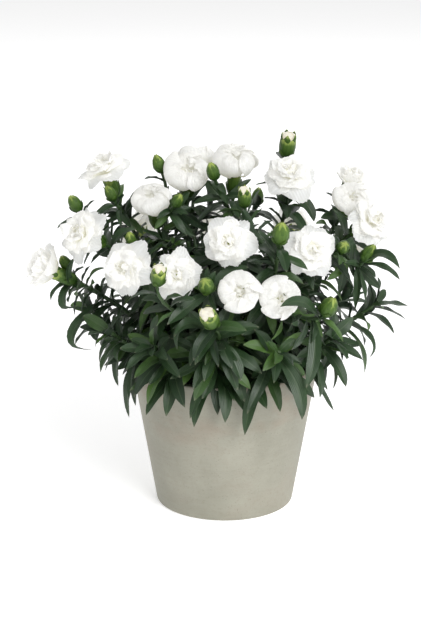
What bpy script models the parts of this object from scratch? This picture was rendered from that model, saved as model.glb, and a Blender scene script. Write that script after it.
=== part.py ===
"""A potted carnation: a plain tapered ceramic pot filled with compost, leafy sprays that carry white
double flowers and buds, and forked leafy shoots that arch over the rim. Metres, +Z up. The origin is
the middle of the pot's underside, and -Y is the side that is seen from the front."""

import math
import random
from collections import namedtuple

import bmesh
import bpy
from mathutils import Matrix, Vector
from mathutils.bvhtree import BVHTree

MM = 0.001
UP = Vector((0, 0, 1))

# Pot and compost
POT_HEIGHT = 114 * MM
POT_RIM_RADIUS = 72.5 * MM
POT_BASE_RADIUS = 53 * MM
POT_WALL = 6 * MM
POT_FLOOR = 7 * MM
POT_EDGE = 1.5 * MM
RIM_DRAFT = 0.2 * MM
POT_SIDES = 36
SOIL_SIDES = 18
SOIL_BELOW_RIM = 12 * MM
SOIL_TOP = POT_HEIGHT - SOIL_BELOW_RIM
REST_GAP = 0.3 * MM
WELD = 0.001 * MM
AXIS_WELD = 0.05 * MM

# Stems are square in section, with a short band at each leaf pair whose sides the leaves grow from.
STEM_FOOT_RADIUS = 1.9 * MM
STEM_TOP_RADIUS = 1.3 * MM
STEM_SIDES = 4
STEM_CLEARANCE = 0.5 * MM
KNOT_HALF = 0.8 * MM
FOOT_DEPTH = 12 * MM
FOOT_RISE = 1 * MM
HOLE_RADIUS = 3.2 * MM
HOLE_SIDES = 4
FOOT_SHARE = 0.30
FOOT_SPACING = 8 * MM
BRANCH_DROP = 34 * MM
BRANCH_DROP_RANGE = (0.8, 1.1)
STEM_PULL = (0.34, 0.44)
SIDE_PULL = (0.3, 0.4)
STEM_TRIES = 40
STRAY = 2 * MM
STRAY_STEP = 0.5 * MM
SHOOT_FOOT_RING = 53 * MM
SHOOT_FOOT_STRAY = 0.6
SHOOT_TIP_STRAY = 0.5
SHOOT_TIP_TILT = 42
INNER_TIP_TILT = 70

# Flower heads. A bud's outline is in shares of its length and of its radius.
CALYX_OUTLINE = ((0.0, 2.2 * MM), (4.5 * MM, 4.8 * MM), (18 * MM, 5.5 * MM))
BUD_OUTLINE = ((0.0, 0.48), (0.27, 0.96), (0.65, 1.0), (1.0, 0.4))
OPENING_OUTLINE = ((0.0, 0.48), (0.27, 0.96), (0.7, 1.0), (1.0, 0.82))
BUD_LENGTH_SHARE = 1.32
TIP_OUTLINE = ((0.0, 0.70), (0.2, 0.74), (0.36, 0.54), (0.44, 0.0))
HEAD_SIDES = 6
NECK = 0.8 * MM

# Flowers: PETALS to a ring, and the points of a petal's edge as (reach, rise) in shares of the ring's
PETALS = 5
WIDE_PETAL = ((0.70, -0.02), (0.96, 0.06), (1.0, -0.05), (0.95, 0.06))
SMALL_PETAL = ((0.60, -0.08), (1.0, 0.06))
SEAT_RADIUS = 3.6 * MM
BLOOM_DIP = 0.16
RING_SPREAD = 0.07
PETAL_SIZES = (0.9, 1.06)

# Leaves
LEAF_THICKNESS = 1.1 * MM
LONG_STATIONS = (0.36, 0.7)
SHORT_STATIONS = (0.48,)
SHORT_LEAF = 25 * MM
LEAF_ROOT_SHARE = 0.24
LEAF_ROOT_LENGTH = 4.5 * MM
LEAF_WIDEST = 0.45
LEAF_TRIES = 14
LEAF_CLEARANCE = 0.45 * MM

# Rows of leaf pairs up a stem. Lengths, lifts and bends are the lowest and the highest pair's, lifts
# and bends in radians.
Row = namedtuple("Row", "lengths width lifts bends")
LEADER_ROW = Row((45 * MM, 27 * MM), 9.8 * MM, (0.5, 0.8), (1.5, 1.1))
SIDE_ROW = Row((27 * MM, 18 * MM), 6 * MM, (0.6, 0.8), (1.1, 0.9))
OUTER_ROW = Row((49 * MM, 27 * MM), 10.4 * MM, (0.3, 1.0), (1.6, 0.8))
INNER_ROW = Row((45 * MM, 27 * MM), 9.8 * MM, (0.4, 1.0), (1.5, 0.8))

# Where a stem's leaf pairs begin and end, as lengths on a leader and as shares of the other stems
LEADER_BARE_FOOT = 16 * MM
LEADER_BARE_TOP = 14 * MM
PAIR_SPACING = 22 * MM
SIDE_PAIRS = (0.5, 0.76, 2)
OUTER_PAIRS = (0.34, 0.95, 5)
INNER_PAIRS = (0.4, 0.95, 4)

# Colours, in linear light, and roughness
CERAMIC = ((0.50, 0.48, 0.42), 0.62)
PEAT = ((0.045, 0.03, 0.02), 0.95)
GREEN = ((0.045, 0.11, 0.045), 0.5)
WHITE = ((0.86, 0.85, 0.80), 0.6)
SHARP_ANGLE = math.radians(42)

Head = namedtuple("Head", "kind x y z azimuth tilt size")
Shoot = namedtuple("Shoot", "azimuth reach height inner_azimuth inner_reach inner_height")
Stem = namedtuple("Stem", "joints ways sides radii")
Site = namedtuple("Site", "joint root stem facing length width lift bend")
Leaf = namedtuple("Leaf", "root out up side length width lift bend sway droop")

# How far out and how high each ring of petals reaches, as shares of the flower's radius:
# outer, middle and inner ring, each (reach, height).
BLOOM_FORMS = {
    "open": ((1.0, 0.14), (0.80, 0.46), (0.44, 0.66)),
    "round": ((1.0, 0.46), (0.86, 0.84), (0.46, 0.98)),
    "half": ((1.0, 0.70), (0.74, 1.05), (0.40, 1.16)),
}
# The waist between two rings, as its reach and how far up it is from the lower ring to the upper
WAISTS = ((0.28, 0.22), (0.22, 0.26))

# Each spray's heads, its leader first. Places and sizes are in millimetres. Azimuth 0 faces the front
# and 90 faces +X, and tilt is the head's angle above level, both in degrees. A bud that is "opening"
# shows a tip of petals.
SPRAYS = (
    (Head("half", -142, -22, 196, -82, 28, 36), Head("bud", -120, -14, 193, -60, 62, 9)),
    (Head("open", -107, -38, 224, -48, 30, 43), Head("bud", -112, -10, 238, -70, 60, 10)),
    (Head("open", -92, 12, 262, -60, 66, 43), Head("bud", -86, 2, 243, -70, 62, 9)),
    (Head("round", -56, -8, 245, -25, 66, 36), Head("bud", -50, 22, 261, -80, 70, 10)),
    (Head("round", -28, 10, 262, 5, 58, 40), Head("bud", -36, -34, 247, 40, 50, 9)),
    (Head("round", 8, 18, 270, 10, 74, 42), Head("bud", -9, -6, 262, -40, 68, 10)),
    (Head("open", -73, -76, 208, -25, 18, 44), Head("bud", -70, -32, 217, -30, 65, 8)),
    (Head("open", -35, -90, 207, 2, 12, 38),),
    (Head("open", 2, -84, 230, -5, 20, 41), Head("bud", -14, -105, 203, -8, 40, 12)),
    (Head("round", 10, -107, 200, 5, 22, 36),),
    (Head("round", 39, -101, 193, 15, 18, 36), Head("bud", 74, -92, 183, 25, 52, 13)),
    (Head("open", 62, -70, 220, 12, 22, 42), Head("bud", 86, -56, 218, 10, 30, 10)),
    (Head("bud", 39, -94, 238, 8, 62, 13), Head("opening", 14, -45, 251, -10, 74, 10)),
    (Head("open", 49, 5, 259, 2, 48, 44), Head("opening", 48, 42, 270, 20, 72, 13)),
    (Head("round", 96, 2, 242, 18, 44, 32), Head("half", 99, 36, 252, 30, 60, 26)),
    (Head("open", 110, -24, 230, 42, 34, 42), Head("bud", 105, -50, 211, 50, 56, 11)),
    (Head("opening", -11, -118, 182, -20, 42, 13), Head("opening", -48, -115, 212, 15, 62, 11)),
    (Head("open", -70, 84, 196, -140, 34, 42), Head("bud", -96, 58, 206, -115, 52, 10)),
    (Head("open", -8, 104, 192, -176, 26, 43), Head("bud", -34, 84, 212, -165, 60, 11)),
    (Head("round", -20, 58, 262, 165, 62, 40), Head("bud", 26, 74, 222, 160, 58, 10)),
    (Head("open", 56, 92, 194, 152, 28, 42), Head("open", 104, 62, 186, 116, 26, 40)),
)

# Forked shoots without flowers: the azimuth, reach and height of the outer tip and then of the inner
# one, in degrees and millimetres.
SHOOTS = (
    Shoot(-6, 92, 152, -24, 44, 176),
    Shoot(24, 96, 148, 42, 50, 172),
    Shoot(52, 100, 150, 66, 60, 184),
    Shoot(80, 116, 164, 98, 44, 206),
    Shoot(112, 100, 150, 126, 56, 194),
    Shoot(143, 98, 154, 160, 40, 200),
    Shoot(174, 98, 150, 192, 52, 194),
    Shoot(206, 98, 152, 222, 42, 202),
    Shoot(237, 100, 154, 252, 58, 196),
    Shoot(268, 104, 152, 284, 44, 208),
    Shoot(298, 98, 150, 312, 58, 186),
    Shoot(326, 96, 150, 342, 48, 178),
)


# Curves


def heading(azimuth, tilt):
    """The unit vector of a head that faces azimuth, tilted up by tilt, both in degrees."""
    a = math.radians(azimuth)
    t = math.radians(tilt)
    return Vector((math.sin(a) * math.cos(t), -math.cos(a) * math.cos(t), math.sin(t)))


def turned_round(axis, turn):
    """A unit vector square to axis, at the given turn about it."""
    level = axis.cross(UP)
    level = level.normalized() if level.length > 1e-3 else Vector((1, 0, 0))
    return Matrix.Rotation(turn, 3, axis) @ level


def arc(start, start_way, end, end_way, pull):
    """A smooth curve, as a function of 0 to 1, that leaves start and reaches end in the given ways."""
    span = (end - start).length * pull
    b = start + start_way * span
    c = end - end_way * span

    def along(t):
        s = 1 - t
        return start * s**3 + b * 3 * s * s * t + c * 3 * s * t * t + end * t**3

    return along


def arc_length(curve, steps=24):
    return sum((curve((i + 1) / steps) - curve(i / steps)).length for i in range(steps))


def stem_of(curve, first, last, pairs, low, turn):
    """A stem of straight runs along curve, jointed at its leaf pairs, which are spread from first to
    last. Each joint has the stem's way there, the way that its side 0 faces, and its radius."""
    places = [0] + [first + (last - first) * k / max(1, pairs - 1) for k in range(pairs)] + [1]
    joints = [curve(t) for t in places]
    ways = []
    for k in range(len(joints)):
        before, after = joints[max(0, k - 1)], joints[min(len(joints) - 1, k + 1)]
        ways.append((after - before).normalized())
    sides = []
    side = turned_round(ways[0], turn)
    for way in ways:
        side = (side - way * side.dot(way)).normalized()
        sides.append(side)
    return Stem(joints, ways, sides, [low + (STEM_TOP_RADIUS - low) * t for t in places])


def stem_point(stem, t):
    """The point of a stem's straight runs at t, counted from 0 to 1 in runs."""
    place = t * (len(stem.joints) - 1)
    run = min(int(place), len(stem.joints) - 2)
    return stem.joints[run].lerp(stem.joints[run + 1], place - run)


# Where heads and stems stand


def head_way(head):
    return heading(head.azimuth, head.tilt)


def head_outline(head):
    """(distance along the head, radius) of its green part, from the seat up."""
    if head.kind in BLOOM_FORMS:
        return CALYX_OUTLINE
    outline = OPENING_OUTLINE if head.kind == "opening" else BUD_OUTLINE
    return [(a * head.size * MM * BUD_LENGTH_SHARE, r * head.size * MM / 2) for a, r in outline]


def head_seat(head):
    """The point where the stem ends and the calyx or bud begins."""
    centre = Vector((head.x, head.y, head.z)) * MM
    green = head_outline(head)[-1][0]
    if head.kind not in BLOOM_FORMS:
        return centre - head_way(head) * green / 2
    outer, _, inner = BLOOM_FORMS[head.kind]
    return centre - head_way(head) * (green + (outer[1] + inner[1]) / 4 * head.size * MM)


def head_top(head):
    """The point on the head's axis where its petals begin, just clear of the green part."""
    return head_seat(head) + head_way(head) * (NECK + head_outline(head)[-1][0] + REST_GAP)


def standing(head):
    """The placement of what stands on a head's top, with Z along the head."""
    turn = head_way(head).to_track_quat("Z", "Y").to_matrix().to_4x4()
    return Matrix.Translation(head_top(head)) @ turn


def strayed(rng, attempt):
    """A level offset that is nothing at first and wider with each attempt."""
    reach = 0 if attempt == 0 else STRAY + STRAY_STEP * attempt
    turn = rng.uniform(0, math.tau)
    return Vector((math.cos(turn), math.sin(turn), 0)) * reach


def green_head(head):
    """A head's calyx or bud alone, a little widened, to keep its room."""
    way = head_way(head)
    skin = Skin()
    low = None
    for along, radius in head_outline(head):
        ring = skin.ring(head_seat(head) + way * (along + NECK), way, turned_round(way, 0),
                         radius + STEM_CLEARANCE, HEAD_SIDES)
        if low:
            skin.bridge(low, ring)
        low = ring
    return skin


def rising(foot, tip, way, pull):
    """A stem's curve from the compost to its tip, upright at the foot."""
    start = foot + UP * FOOT_RISE
    return arc(start, (UP * 2 + (tip - foot).normalized()).normalized(), tip, way, pull)


def forked(rng, stem, fork, tip, way, pairs):
    """A side stem that leaves the given one part way up and ends at tip."""
    start = stem_point(stem, fork)
    start_way = (stem_point(stem, fork + 0.01) - start).normalized()
    curve = arc(start, start_way, tip, way, rng.uniform(*SIDE_PULL))
    return stem_of(curve, *pairs, STEM_TOP_RADIUS, rng.uniform(0, math.tau))


def spray_stems(number, spray, attempt):
    """A spray's stems in one way that they may run, the leader first."""
    rng = random.Random(f"spray {number} try {attempt}")
    leader = spray[0]
    foot = Vector((leader.x, leader.y, 0)) * MM * FOOT_SHARE + UP * SOIL_TOP + strayed(rng, attempt)
    curve = rising(foot, head_seat(leader), head_way(leader), rng.uniform(*STEM_PULL))
    length = arc_length(curve)
    pairs = max(3, round((length - LEADER_BARE_FOOT - LEADER_BARE_TOP) / PAIR_SPACING))
    main = stem_of(curve, LEADER_BARE_FOOT / length, 1 - LEADER_BARE_TOP / length, pairs,
                   STEM_FOOT_RADIUS, rng.uniform(0, math.tau))
    stems = [main]
    for head in spray[1:]:
        runs = pairs + 1
        drop = BRANCH_DROP * rng.uniform(*BRANCH_DROP_RANGE) / length * runs
        fork = (int(runs - drop) + 0.5) / runs
        stems.append(forked(rng, main, fork, head_seat(head), head_way(head), SIDE_PAIRS))
    return stems


def shoot_stems(number, shoot, attempt):
    """A shoot's two stems in one way that they may run, the outer one first."""
    rng = random.Random(f"shoot {number} try {attempt}")
    foot = heading(shoot.azimuth, 0) * SHOOT_FOOT_RING + UP * SOIL_TOP + strayed(rng, attempt) * SHOOT_FOOT_STRAY
    tip = heading(shoot.azimuth, 0) * shoot.reach * MM + UP * shoot.height * MM
    curve = rising(foot, tip, heading(shoot.azimuth, SHOOT_TIP_TILT), rng.uniform(*STEM_PULL))
    outer = stem_of(curve, *OUTER_PAIRS, STEM_FOOT_RADIUS, rng.uniform(0, math.tau))
    inner_tip = heading(shoot.inner_azimuth, 0) * shoot.inner_reach * MM + UP * shoot.inner_height * MM
    inner_tip += strayed(rng, attempt) * SHOOT_TIP_STRAY
    inner_way = heading(shoot.inner_azimuth, INNER_TIP_TILT)
    fork = 0.5 / (len(outer.joints) - 1)
    return [outer, forked(rng, outer, fork, inner_tip, inner_way, INNER_PAIRS)]


# Leaves


def pair_sites(stem, row):
    """The sites of a stem's leaf pairs, each pair square to the one below it."""
    sites = []
    pairs = len(stem.joints) - 2
    for pair in range(pairs):
        share = pair / max(1, pairs - 1)
        way, side = stem.ways[pair + 1], stem.sides[pair + 1]
        length = row.lengths[0] + (row.lengths[1] - row.lengths[0]) * share
        sites.append(Site(
            joint=pair + 1,
            root=stem.joints[pair + 1],
            stem=way,
            facing=way.cross(side) if pair % 2 else side,
            length=length,
            width=row.width * (0.5 + 0.5 * length / row.lengths[0]),
            lift=row.lifts[0] + (row.lifts[1] - row.lifts[0]) * share,
            bend=row.bends[0] + (row.bends[1] - row.bends[0]) * share,
        ))
    return sites


def leaf_try(label, site, side, attempt):
    """One way that the leaf on one side of a site may grow. Later attempts stray further."""
    rng = random.Random(f"{label} side {side} try {attempt}")
    stray = 1 + 0.3 * attempt
    turn = side * math.pi + rng.uniform(-0.25, 0.25) * stray
    out = Matrix.Rotation(turn, 3, site.stem) @ site.facing
    return Leaf(
        root=site.root,
        out=out,
        up=site.stem,
        side=site.stem.cross(out),
        length=site.length * rng.uniform(0.86, 1.12) * (1 - 0.02 * attempt),
        width=site.width * rng.uniform(0.92, 1.08),
        lift=site.lift + rng.uniform(-0.16, 0.2) * stray,
        bend=max(0.25, site.bend + rng.uniform(-0.3, 0.3) * stray),
        sway=rng.uniform(-0.1, 0.1) * stray,
        droop=rng.uniform(0.04, 0.22),
    )


def leaf_point(leaf, s):
    """A point of the midrib, s from 0 at the root to 1 at the tip: an arc that also sags and sways."""
    out = (math.sin(leaf.lift) - math.sin(leaf.lift - leaf.bend * s)) / leaf.bend
    up = (math.cos(leaf.lift - leaf.bend * s) - math.cos(leaf.lift)) / leaf.bend
    sag = UP * leaf.droop * s * s
    return leaf.root + (leaf.out * out + leaf.up * up + leaf.side * leaf.sway * s * s - sag) * leaf.length


def leaf_width(leaf, s):
    """The blade's full width: narrow where it clasps the stem, widest before the middle, pointed."""
    rise = LEAF_ROOT_SHARE + (1 - LEAF_ROOT_SHARE) * math.sin(min(1, s / LEAF_WIDEST) * math.pi / 2)
    return leaf.width * rise * (1 - max(0, (s - LEAF_WIDEST) / (1 - LEAF_WIDEST)) ** 2)


def leaf_ring(leaf, s, grow=0.0):
    """The three corners of the blade's section: its edges, and the keel under its midrib."""
    here = leaf_point(leaf, s)
    along = (leaf_point(leaf, s + 0.01) - here).normalized()
    side = (leaf.side - along * leaf.side.dot(along)).normalized()
    above = side.cross(along)
    if above.dot(leaf.up) < 0:
        above.negate()
    half = side * (leaf_width(leaf, s) / 2 + grow)
    return [here - half + above * grow, here + half + above * grow, here - above * (LEAF_THICKNESS + grow)]


class Skin:
    """The points and faces of one closed body while it is built."""

    def __init__(self):
        self.points = []
        self.faces = []

    def ring(self, centre, way, side, radius, sides):
        """Adds a ring square to way whose flats, for a square, face side and its quarter turns."""
        side = (side - way * side.dot(way)).normalized()
        first = len(self.points)
        start = math.pi / sides
        for k in range(sides):
            spoke = Matrix.Rotation(start + math.tau * k / sides, 3, way) @ side
            self.points.append(centre + spoke * radius)
        return list(range(first, first + sides))

    def bridge(self, low, high, but=()):
        """Faces between two rings of one count, leaving out the flats whose numbers are in but."""
        for k in range(len(low)):
            if k not in but:
                self.faces.append((low[k - 1], low[k], high[k], high[k - 1]))

    def zip(self, low, high):
        """Triangles between two rings of different counts."""
        i = j = 0
        while i < len(low) or j < len(high):
            a, b = low[i % len(low)], high[j % len(high)]
            if j >= len(high) or (i < len(low) and (i + 1) / len(low) <= (j + 1) / len(high)):
                i += 1
                self.faces.append((a, low[i % len(low)], b))
            else:
                j += 1
                self.faces.append((a, high[j % len(high)], b))

    def blade(self, root, leaf, grow=0.0):
        """A leaf's blade, from the ring of points it starts on to its tip. The blade's own rings are
        its two edges and its keel."""
        ring = root
        for s in LONG_STATIONS if leaf.length > SHORT_LEAF else SHORT_STATIONS:
            first = len(self.points)
            self.points += leaf_ring(leaf, s, grow)
            left, right, keel = first, first + 1, first + 2
            if len(ring) == 4:
                low_left, low_right, high_right, high_left = ring
                self.faces += [(high_left, high_right, right), (high_left, right, left),
                               (high_right, low_right, keel), (high_right, keel, right),
                               (low_right, low_left, keel),
                               (low_left, high_left, left), (low_left, left, keel)]
            else:
                for k in range(3):
                    a, b = ring[k], ring[k - 2]
                    c, d = first + k, first + (k + 1) % 3
                    self.faces += [(a, b, d), (a, d, c)]
            ring = (left, right, keel)
        tip = leaf_point(leaf, 1)
        self.points.append(tip + (tip - leaf_point(leaf, 0.97)).normalized() * grow)
        for k in range(3):
            self.faces.append((ring[k], ring[k - 2], len(self.points) - 1))


def loose_blade(leaf, grow, start=0.0):
    """A blade as a body of its own, from start, a share of its length, to its tip."""
    skin = Skin()
    skin.points += leaf_ring(leaf, start, grow)
    skin.faces.append((0, 1, 2))
    skin.blade((0, 1, 2), leaf, grow)
    return skin


def leafy_stem(stem, grown, head=None, foot=False):
    """A stem with its leaves, and its head as its thicker end. grown holds (site, hand, leaf)."""
    skin = Skin()
    low = None
    if foot:
        sunk = stem.joints[0] - UP * (FOOT_RISE + FOOT_DEPTH)
        low = skin.ring(sunk, UP, stem.sides[0], stem.radii[0], STEM_SIDES)
        skin.faces.append(tuple(low))
    for k, centre in enumerate(stem.joints):
        way, side, radius = stem.ways[k], stem.sides[k], stem.radii[k]
        here = {(site.joint % 2 == 0) + 2 * hand: leaf for site, hand, leaf in grown if site.joint == k}
        knot = way * (KNOT_HALF if 0 < k < len(stem.joints) - 1 else 0)
        ring = skin.ring(centre - knot, way, side, radius, STEM_SIDES)
        if low:
            skin.bridge(low, ring)
        else:
            skin.faces.append(tuple(ring))
        low = ring
        if knot.length:
            ring = skin.ring(centre + knot, way, side, radius, STEM_SIDES)
            skin.bridge(low, ring, here)
            for flat, leaf in here.items():
                skin.blade((low[flat - 1], low[flat], ring[flat], ring[flat - 1]), leaf)
            low = ring
    if head:
        for k, (along, radius) in enumerate(head_outline(head)):
            centre = head_seat(head) + head_way(head) * (along + NECK)
            ring = skin.ring(centre, head_way(head), stem.sides[-1], radius, HEAD_SIDES)
            if k:
                skin.bridge(low, ring)
            else:
                skin.zip(low, ring)
            low = ring
    skin.faces.append(tuple(low))
    return skin


# Room for leaves and stems


class Room:
    """The bodies that already take up space, each with the name of its node."""

    def __init__(self):
        self.taken = []

    @staticmethod
    def box(points):
        return [(min(p[k] for p in points), max(p[k] for p in points)) for k in range(3)]

    def add(self, node, skin):
        tree = BVHTree.FromPolygons(skin.points, skin.faces)
        self.taken.append((node, tree, self.box(skin.points)))

    def add_object(self, node, obj):
        skin = Skin()
        skin.points = [v.co.copy() for v in obj.data.vertices]
        skin.faces = [tuple(p.vertices) for p in obj.data.polygons]
        self.add(node, skin)

    def clear(self, skin, but=None):
        """Whether a body touches nothing, apart from what belongs to the node named by but."""
        tree = None
        box = self.box(skin.points)
        for node, other, room in self.taken:
            if node == but or any(a[1] < b[0] or b[1] < a[0] for a, b in zip(box, room)):
                continue
            tree = tree or BVHTree.FromPolygons(skin.points, skin.faces)
            if tree.overlap(other):
                return False
        return True


def widened(stem):
    return stem._replace(radii=[radius + STEM_CLEARANCE for radius in stem.radii])


def clear_stems(node, ways_to_run, feet, room):
    """The first way for a node's stems that touches no other node and keeps its foot apart."""
    for attempt in range(STEM_TRIES):
        stems = ways_to_run(attempt)
        if any((stems[0].joints[0] - other).length < FOOT_SPACING for other in feet):
            continue
        if all(room.clear(leafy_stem(widened(stem), ()), but=node) for stem in stems):
            return stems
    print(node, "has no clear way")
    return ways_to_run(0)


def grow_leaves(node, rows, room):
    """For each stem's row of sites, the leaves that have room, each in the first form that touches
    nothing, as (site, hand, leaf)."""
    grown = [[] for _ in rows]
    for row, sites in enumerate(rows):
        for site in sites:
            for hand in range(2):
                for attempt in range(LEAF_TRIES):
                    leaf = leaf_try(f"{node} stem {row} pair {site.joint}", site, hand, attempt)
                    start = max(0.15, LEAF_ROOT_LENGTH / leaf.length)
                    if (room.clear(loose_blade(leaf, LEAF_CLEARANCE, start))
                            and room.clear(loose_blade(leaf, LEAF_CLEARANCE), but=node)):
                        room.add(node, loose_blade(leaf, 0))
                        grown[row].append((site, hand, leaf))
                        break
    return grown


# Building


def material(name, colour, roughness):
    """A plain material that isn't metal."""
    made = bpy.data.materials.new(name)
    made.use_nodes = True
    shader = made.node_tree.nodes["Principled BSDF"]
    shader.inputs["Base Color"].default_value = (*colour, 1)
    shader.inputs["Roughness"].default_value = roughness
    shader.inputs["Metallic"].default_value = 0
    return made


def add_object(name, mesh, collection, finish):
    obj = bpy.data.objects.new(name, mesh)
    collection.objects.link(obj)
    obj.data.materials.append(finish)
    return obj


def smooth(obj):
    obj.data.shade_smooth()
    obj.data.set_sharp_from_angle(angle=SHARP_ANGLE)


def add_skin(name, skin, collection, finish):
    mesh = bpy.data.meshes.new(name)
    mesh.from_pydata([tuple(p) for p in skin.points], [], skin.faces)
    bm = bmesh.new()
    bm.from_mesh(mesh)
    bmesh.ops.triangulate(bm, faces=bm.faces)
    bmesh.ops.recalc_face_normals(bm, faces=bm.faces)
    bm.to_mesh(mesh)
    bm.free()
    return add_object(name, mesh, collection, finish)


def evaluated(obj):
    """A plain mesh of the object as its modifiers or its bevel leave it."""
    bpy.context.view_layer.update()
    graph = bpy.context.evaluated_depsgraph_get()
    return bpy.data.meshes.new_from_object(obj.evaluated_get(graph))


def turned(name, profile, sides, collection, finish):
    """A round solid from an axis-to-axis profile of (radius, height), top to bottom outside."""
    mesh = bpy.data.meshes.new(name)
    mesh.from_pydata([(r, 0, z) for r, z in profile], [(i, i + 1) for i in range(len(profile) - 1)], [])
    obj = add_object(name, mesh, collection, finish)
    screw = obj.modifiers.new("turn", "SCREW")
    screw.axis = "Z"
    screw.steps = sides
    screw.render_steps = sides
    screw.use_merge_vertices = True
    screw.merge_threshold = AXIS_WELD
    obj.data = evaluated(obj)
    obj.modifiers.clear()
    smooth(obj)
    return obj


def petal_ring(rng, outline, turn, radius, reach, height):
    """(distance from the axis, height) of each point of a ring of petals."""
    sizes = [rng.uniform(*PETAL_SIZES) for _ in range(PETALS)]
    rises = [rng.uniform(-RING_SPREAD, RING_SPREAD) for _ in range(PETALS)]
    ring = []
    for i in range(PETALS * len(outline)):
        petal, point = divmod((i + turn) % (PETALS * len(outline)), len(outline))
        out, wave = outline[point]
        size = sizes[petal] if point else 1
        lift = height + wave * reach + (rises[petal] if point else 0)
        ring.append((radius * reach * out * size, radius * lift))
    return ring


def bloom(name, head):
    """A double flower as one closed skin: three rings of five waved petals, each petal notched from
    the next and sharp-edged, raised one above the other from a short neck."""
    rng = random.Random(f"{name} petals")
    radius = head.size * MM / 2
    forms = BLOOM_FORMS[head.kind]
    rings = [[(SEAT_RADIUS, 0.0)] * (2 * PETALS)]
    for layer, (reach, height) in enumerate(forms):
        outline = WIDE_PETAL if layer < 2 else SMALL_PETAL
        turn = 2 * layer if layer < 2 else 1
        rings.append(petal_ring(rng, outline, turn, radius, reach, height))
        if layer < 2:
            share, up = WAISTS[layer]
            level = height + (forms[layer + 1][1] - height) * up
            rings.append([(radius * share, radius * level)] * (2 * PETALS))
    place = standing(head) @ Matrix.Rotation(rng.uniform(0, math.tau), 4, "Z")
    skin = Skin()
    low = None
    for ring in rings:
        first = len(skin.points)
        for i, (out, level) in enumerate(ring):
            turn = math.tau * i / len(ring)
            skin.points.append(place @ Vector((out * math.cos(turn), out * math.sin(turn), level)))
        high = list(range(first, first + len(ring)))
        if low:
            skin.zip(low, high)
        else:
            skin.faces.append(tuple(high))
        low = high
    heart = len(skin.points)
    skin.points.append(place @ Vector((0, 0, radius * (forms[2][1] - BLOOM_DIP))))
    skin.faces += [(low[k - 1], low[k], heart) for k in range(len(low))]
    return skin


def petal_tip(name, head, collection, finish):
    """The tip of furled petals that an opening bud shows."""
    size = head.size * MM
    profile = [(r * size / 2, a * size) for a, r in reversed(TIP_OUTLINE)] + [(0, 0)]
    obj = turned(name, profile, HEAD_SIDES, collection, finish)
    obj.data.transform(standing(head))
    return obj


def sound(mesh):
    """Whether each edge still has exactly two faces once points closer than WELD are made one."""
    bm = bmesh.new()
    bm.from_mesh(mesh)
    bmesh.ops.remove_doubles(bm, verts=bm.verts, dist=WELD)
    good = all(len(edge.link_faces) == 2 for edge in bm.edges)
    bm.free()
    return good


def joined(base, others, solver):
    """A mesh of base and the others as one solid."""
    bag = bpy.data.collections.new("to join")
    bpy.context.scene.collection.children.link(bag)
    for obj in others:
        bag.objects.link(obj)
    join = base.modifiers.new("join", "BOOLEAN")
    join.operation = "UNION"
    join.operand_type = "COLLECTION"
    join.collection = bag
    join.solver = solver
    mesh = evaluated(base)
    base.modifiers.clear()
    bpy.data.collections.remove(bag)
    return mesh


def join_sound(base, others):
    """Makes base one solid with the others, leaving out the last of them while the skin of the result
    touches itself."""
    kept = list(others)
    while kept:
        good = next(filter(sound, (joined(base, kept, solver) for solver in ("EXACT", "MANIFOLD"))), None)
        if good:
            base.data = good
            break
        print(base.name, "is not sound with", len(kept), "side stems")
        kept.pop()
    for obj in others:
        bpy.data.objects.remove(obj)


def pot_radius(z):
    """The pot's outer radius at a height."""
    return POT_BASE_RADIUS + (POT_RIM_RADIUS - POT_BASE_RADIUS) * z / POT_HEIGHT


def build_pot(collection, finish):
    lip = POT_RIM_RADIUS - POT_WALL
    floor = pot_radius(POT_FLOOR) - POT_WALL
    profile = (
        (0, POT_FLOOR), (floor, POT_FLOOR),
        (lip - RIM_DRAFT, POT_HEIGHT - POT_EDGE), (lip + POT_EDGE, POT_HEIGHT),
        (POT_RIM_RADIUS - POT_EDGE, POT_HEIGHT), (POT_RIM_RADIUS - RIM_DRAFT, POT_HEIGHT - POT_EDGE),
        (POT_BASE_RADIUS, POT_EDGE), (POT_BASE_RADIUS - POT_EDGE, 0), (0, 0),
    )
    return turned("pot", profile, POT_SIDES, collection, finish)


def build_compost(feet, collection, cutters, finish):
    """The compost fills the pot and has a plain hole for each stem's foot."""
    bottom = POT_FLOOR + REST_GAP
    gap = POT_WALL + REST_GAP * 2
    profile = ((0, SOIL_TOP), (pot_radius(SOIL_TOP) - gap, SOIL_TOP), (pot_radius(bottom) - gap, bottom),
               (0, bottom))
    compost = turned("compost", profile, SOIL_SIDES, collection, finish)
    for number, foot in enumerate(feet, 1):
        bpy.ops.mesh.primitive_cylinder_add(
            vertices=HOLE_SIDES, radius=HOLE_RADIUS, depth=FOOT_DEPTH * 2,
            location=(foot.x, foot.y, SOIL_TOP - REST_GAP))
        cutter = bpy.context.object
        cutter.name = f"stem_hole_{number:02d}"
        cutter.hide_render = True
        cutter.display_type = "WIRE"
        for home in cutter.users_collection:
            home.objects.unlink(cutter)
        cutters.objects.link(cutter)
    cut = compost.modifiers.new("stem holes", "BOOLEAN")
    cut.operation = "DIFFERENCE"
    cut.operand_type = "COLLECTION"
    cut.collection = cutters
    cut.solver = "EXACT"
    return compost


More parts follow.
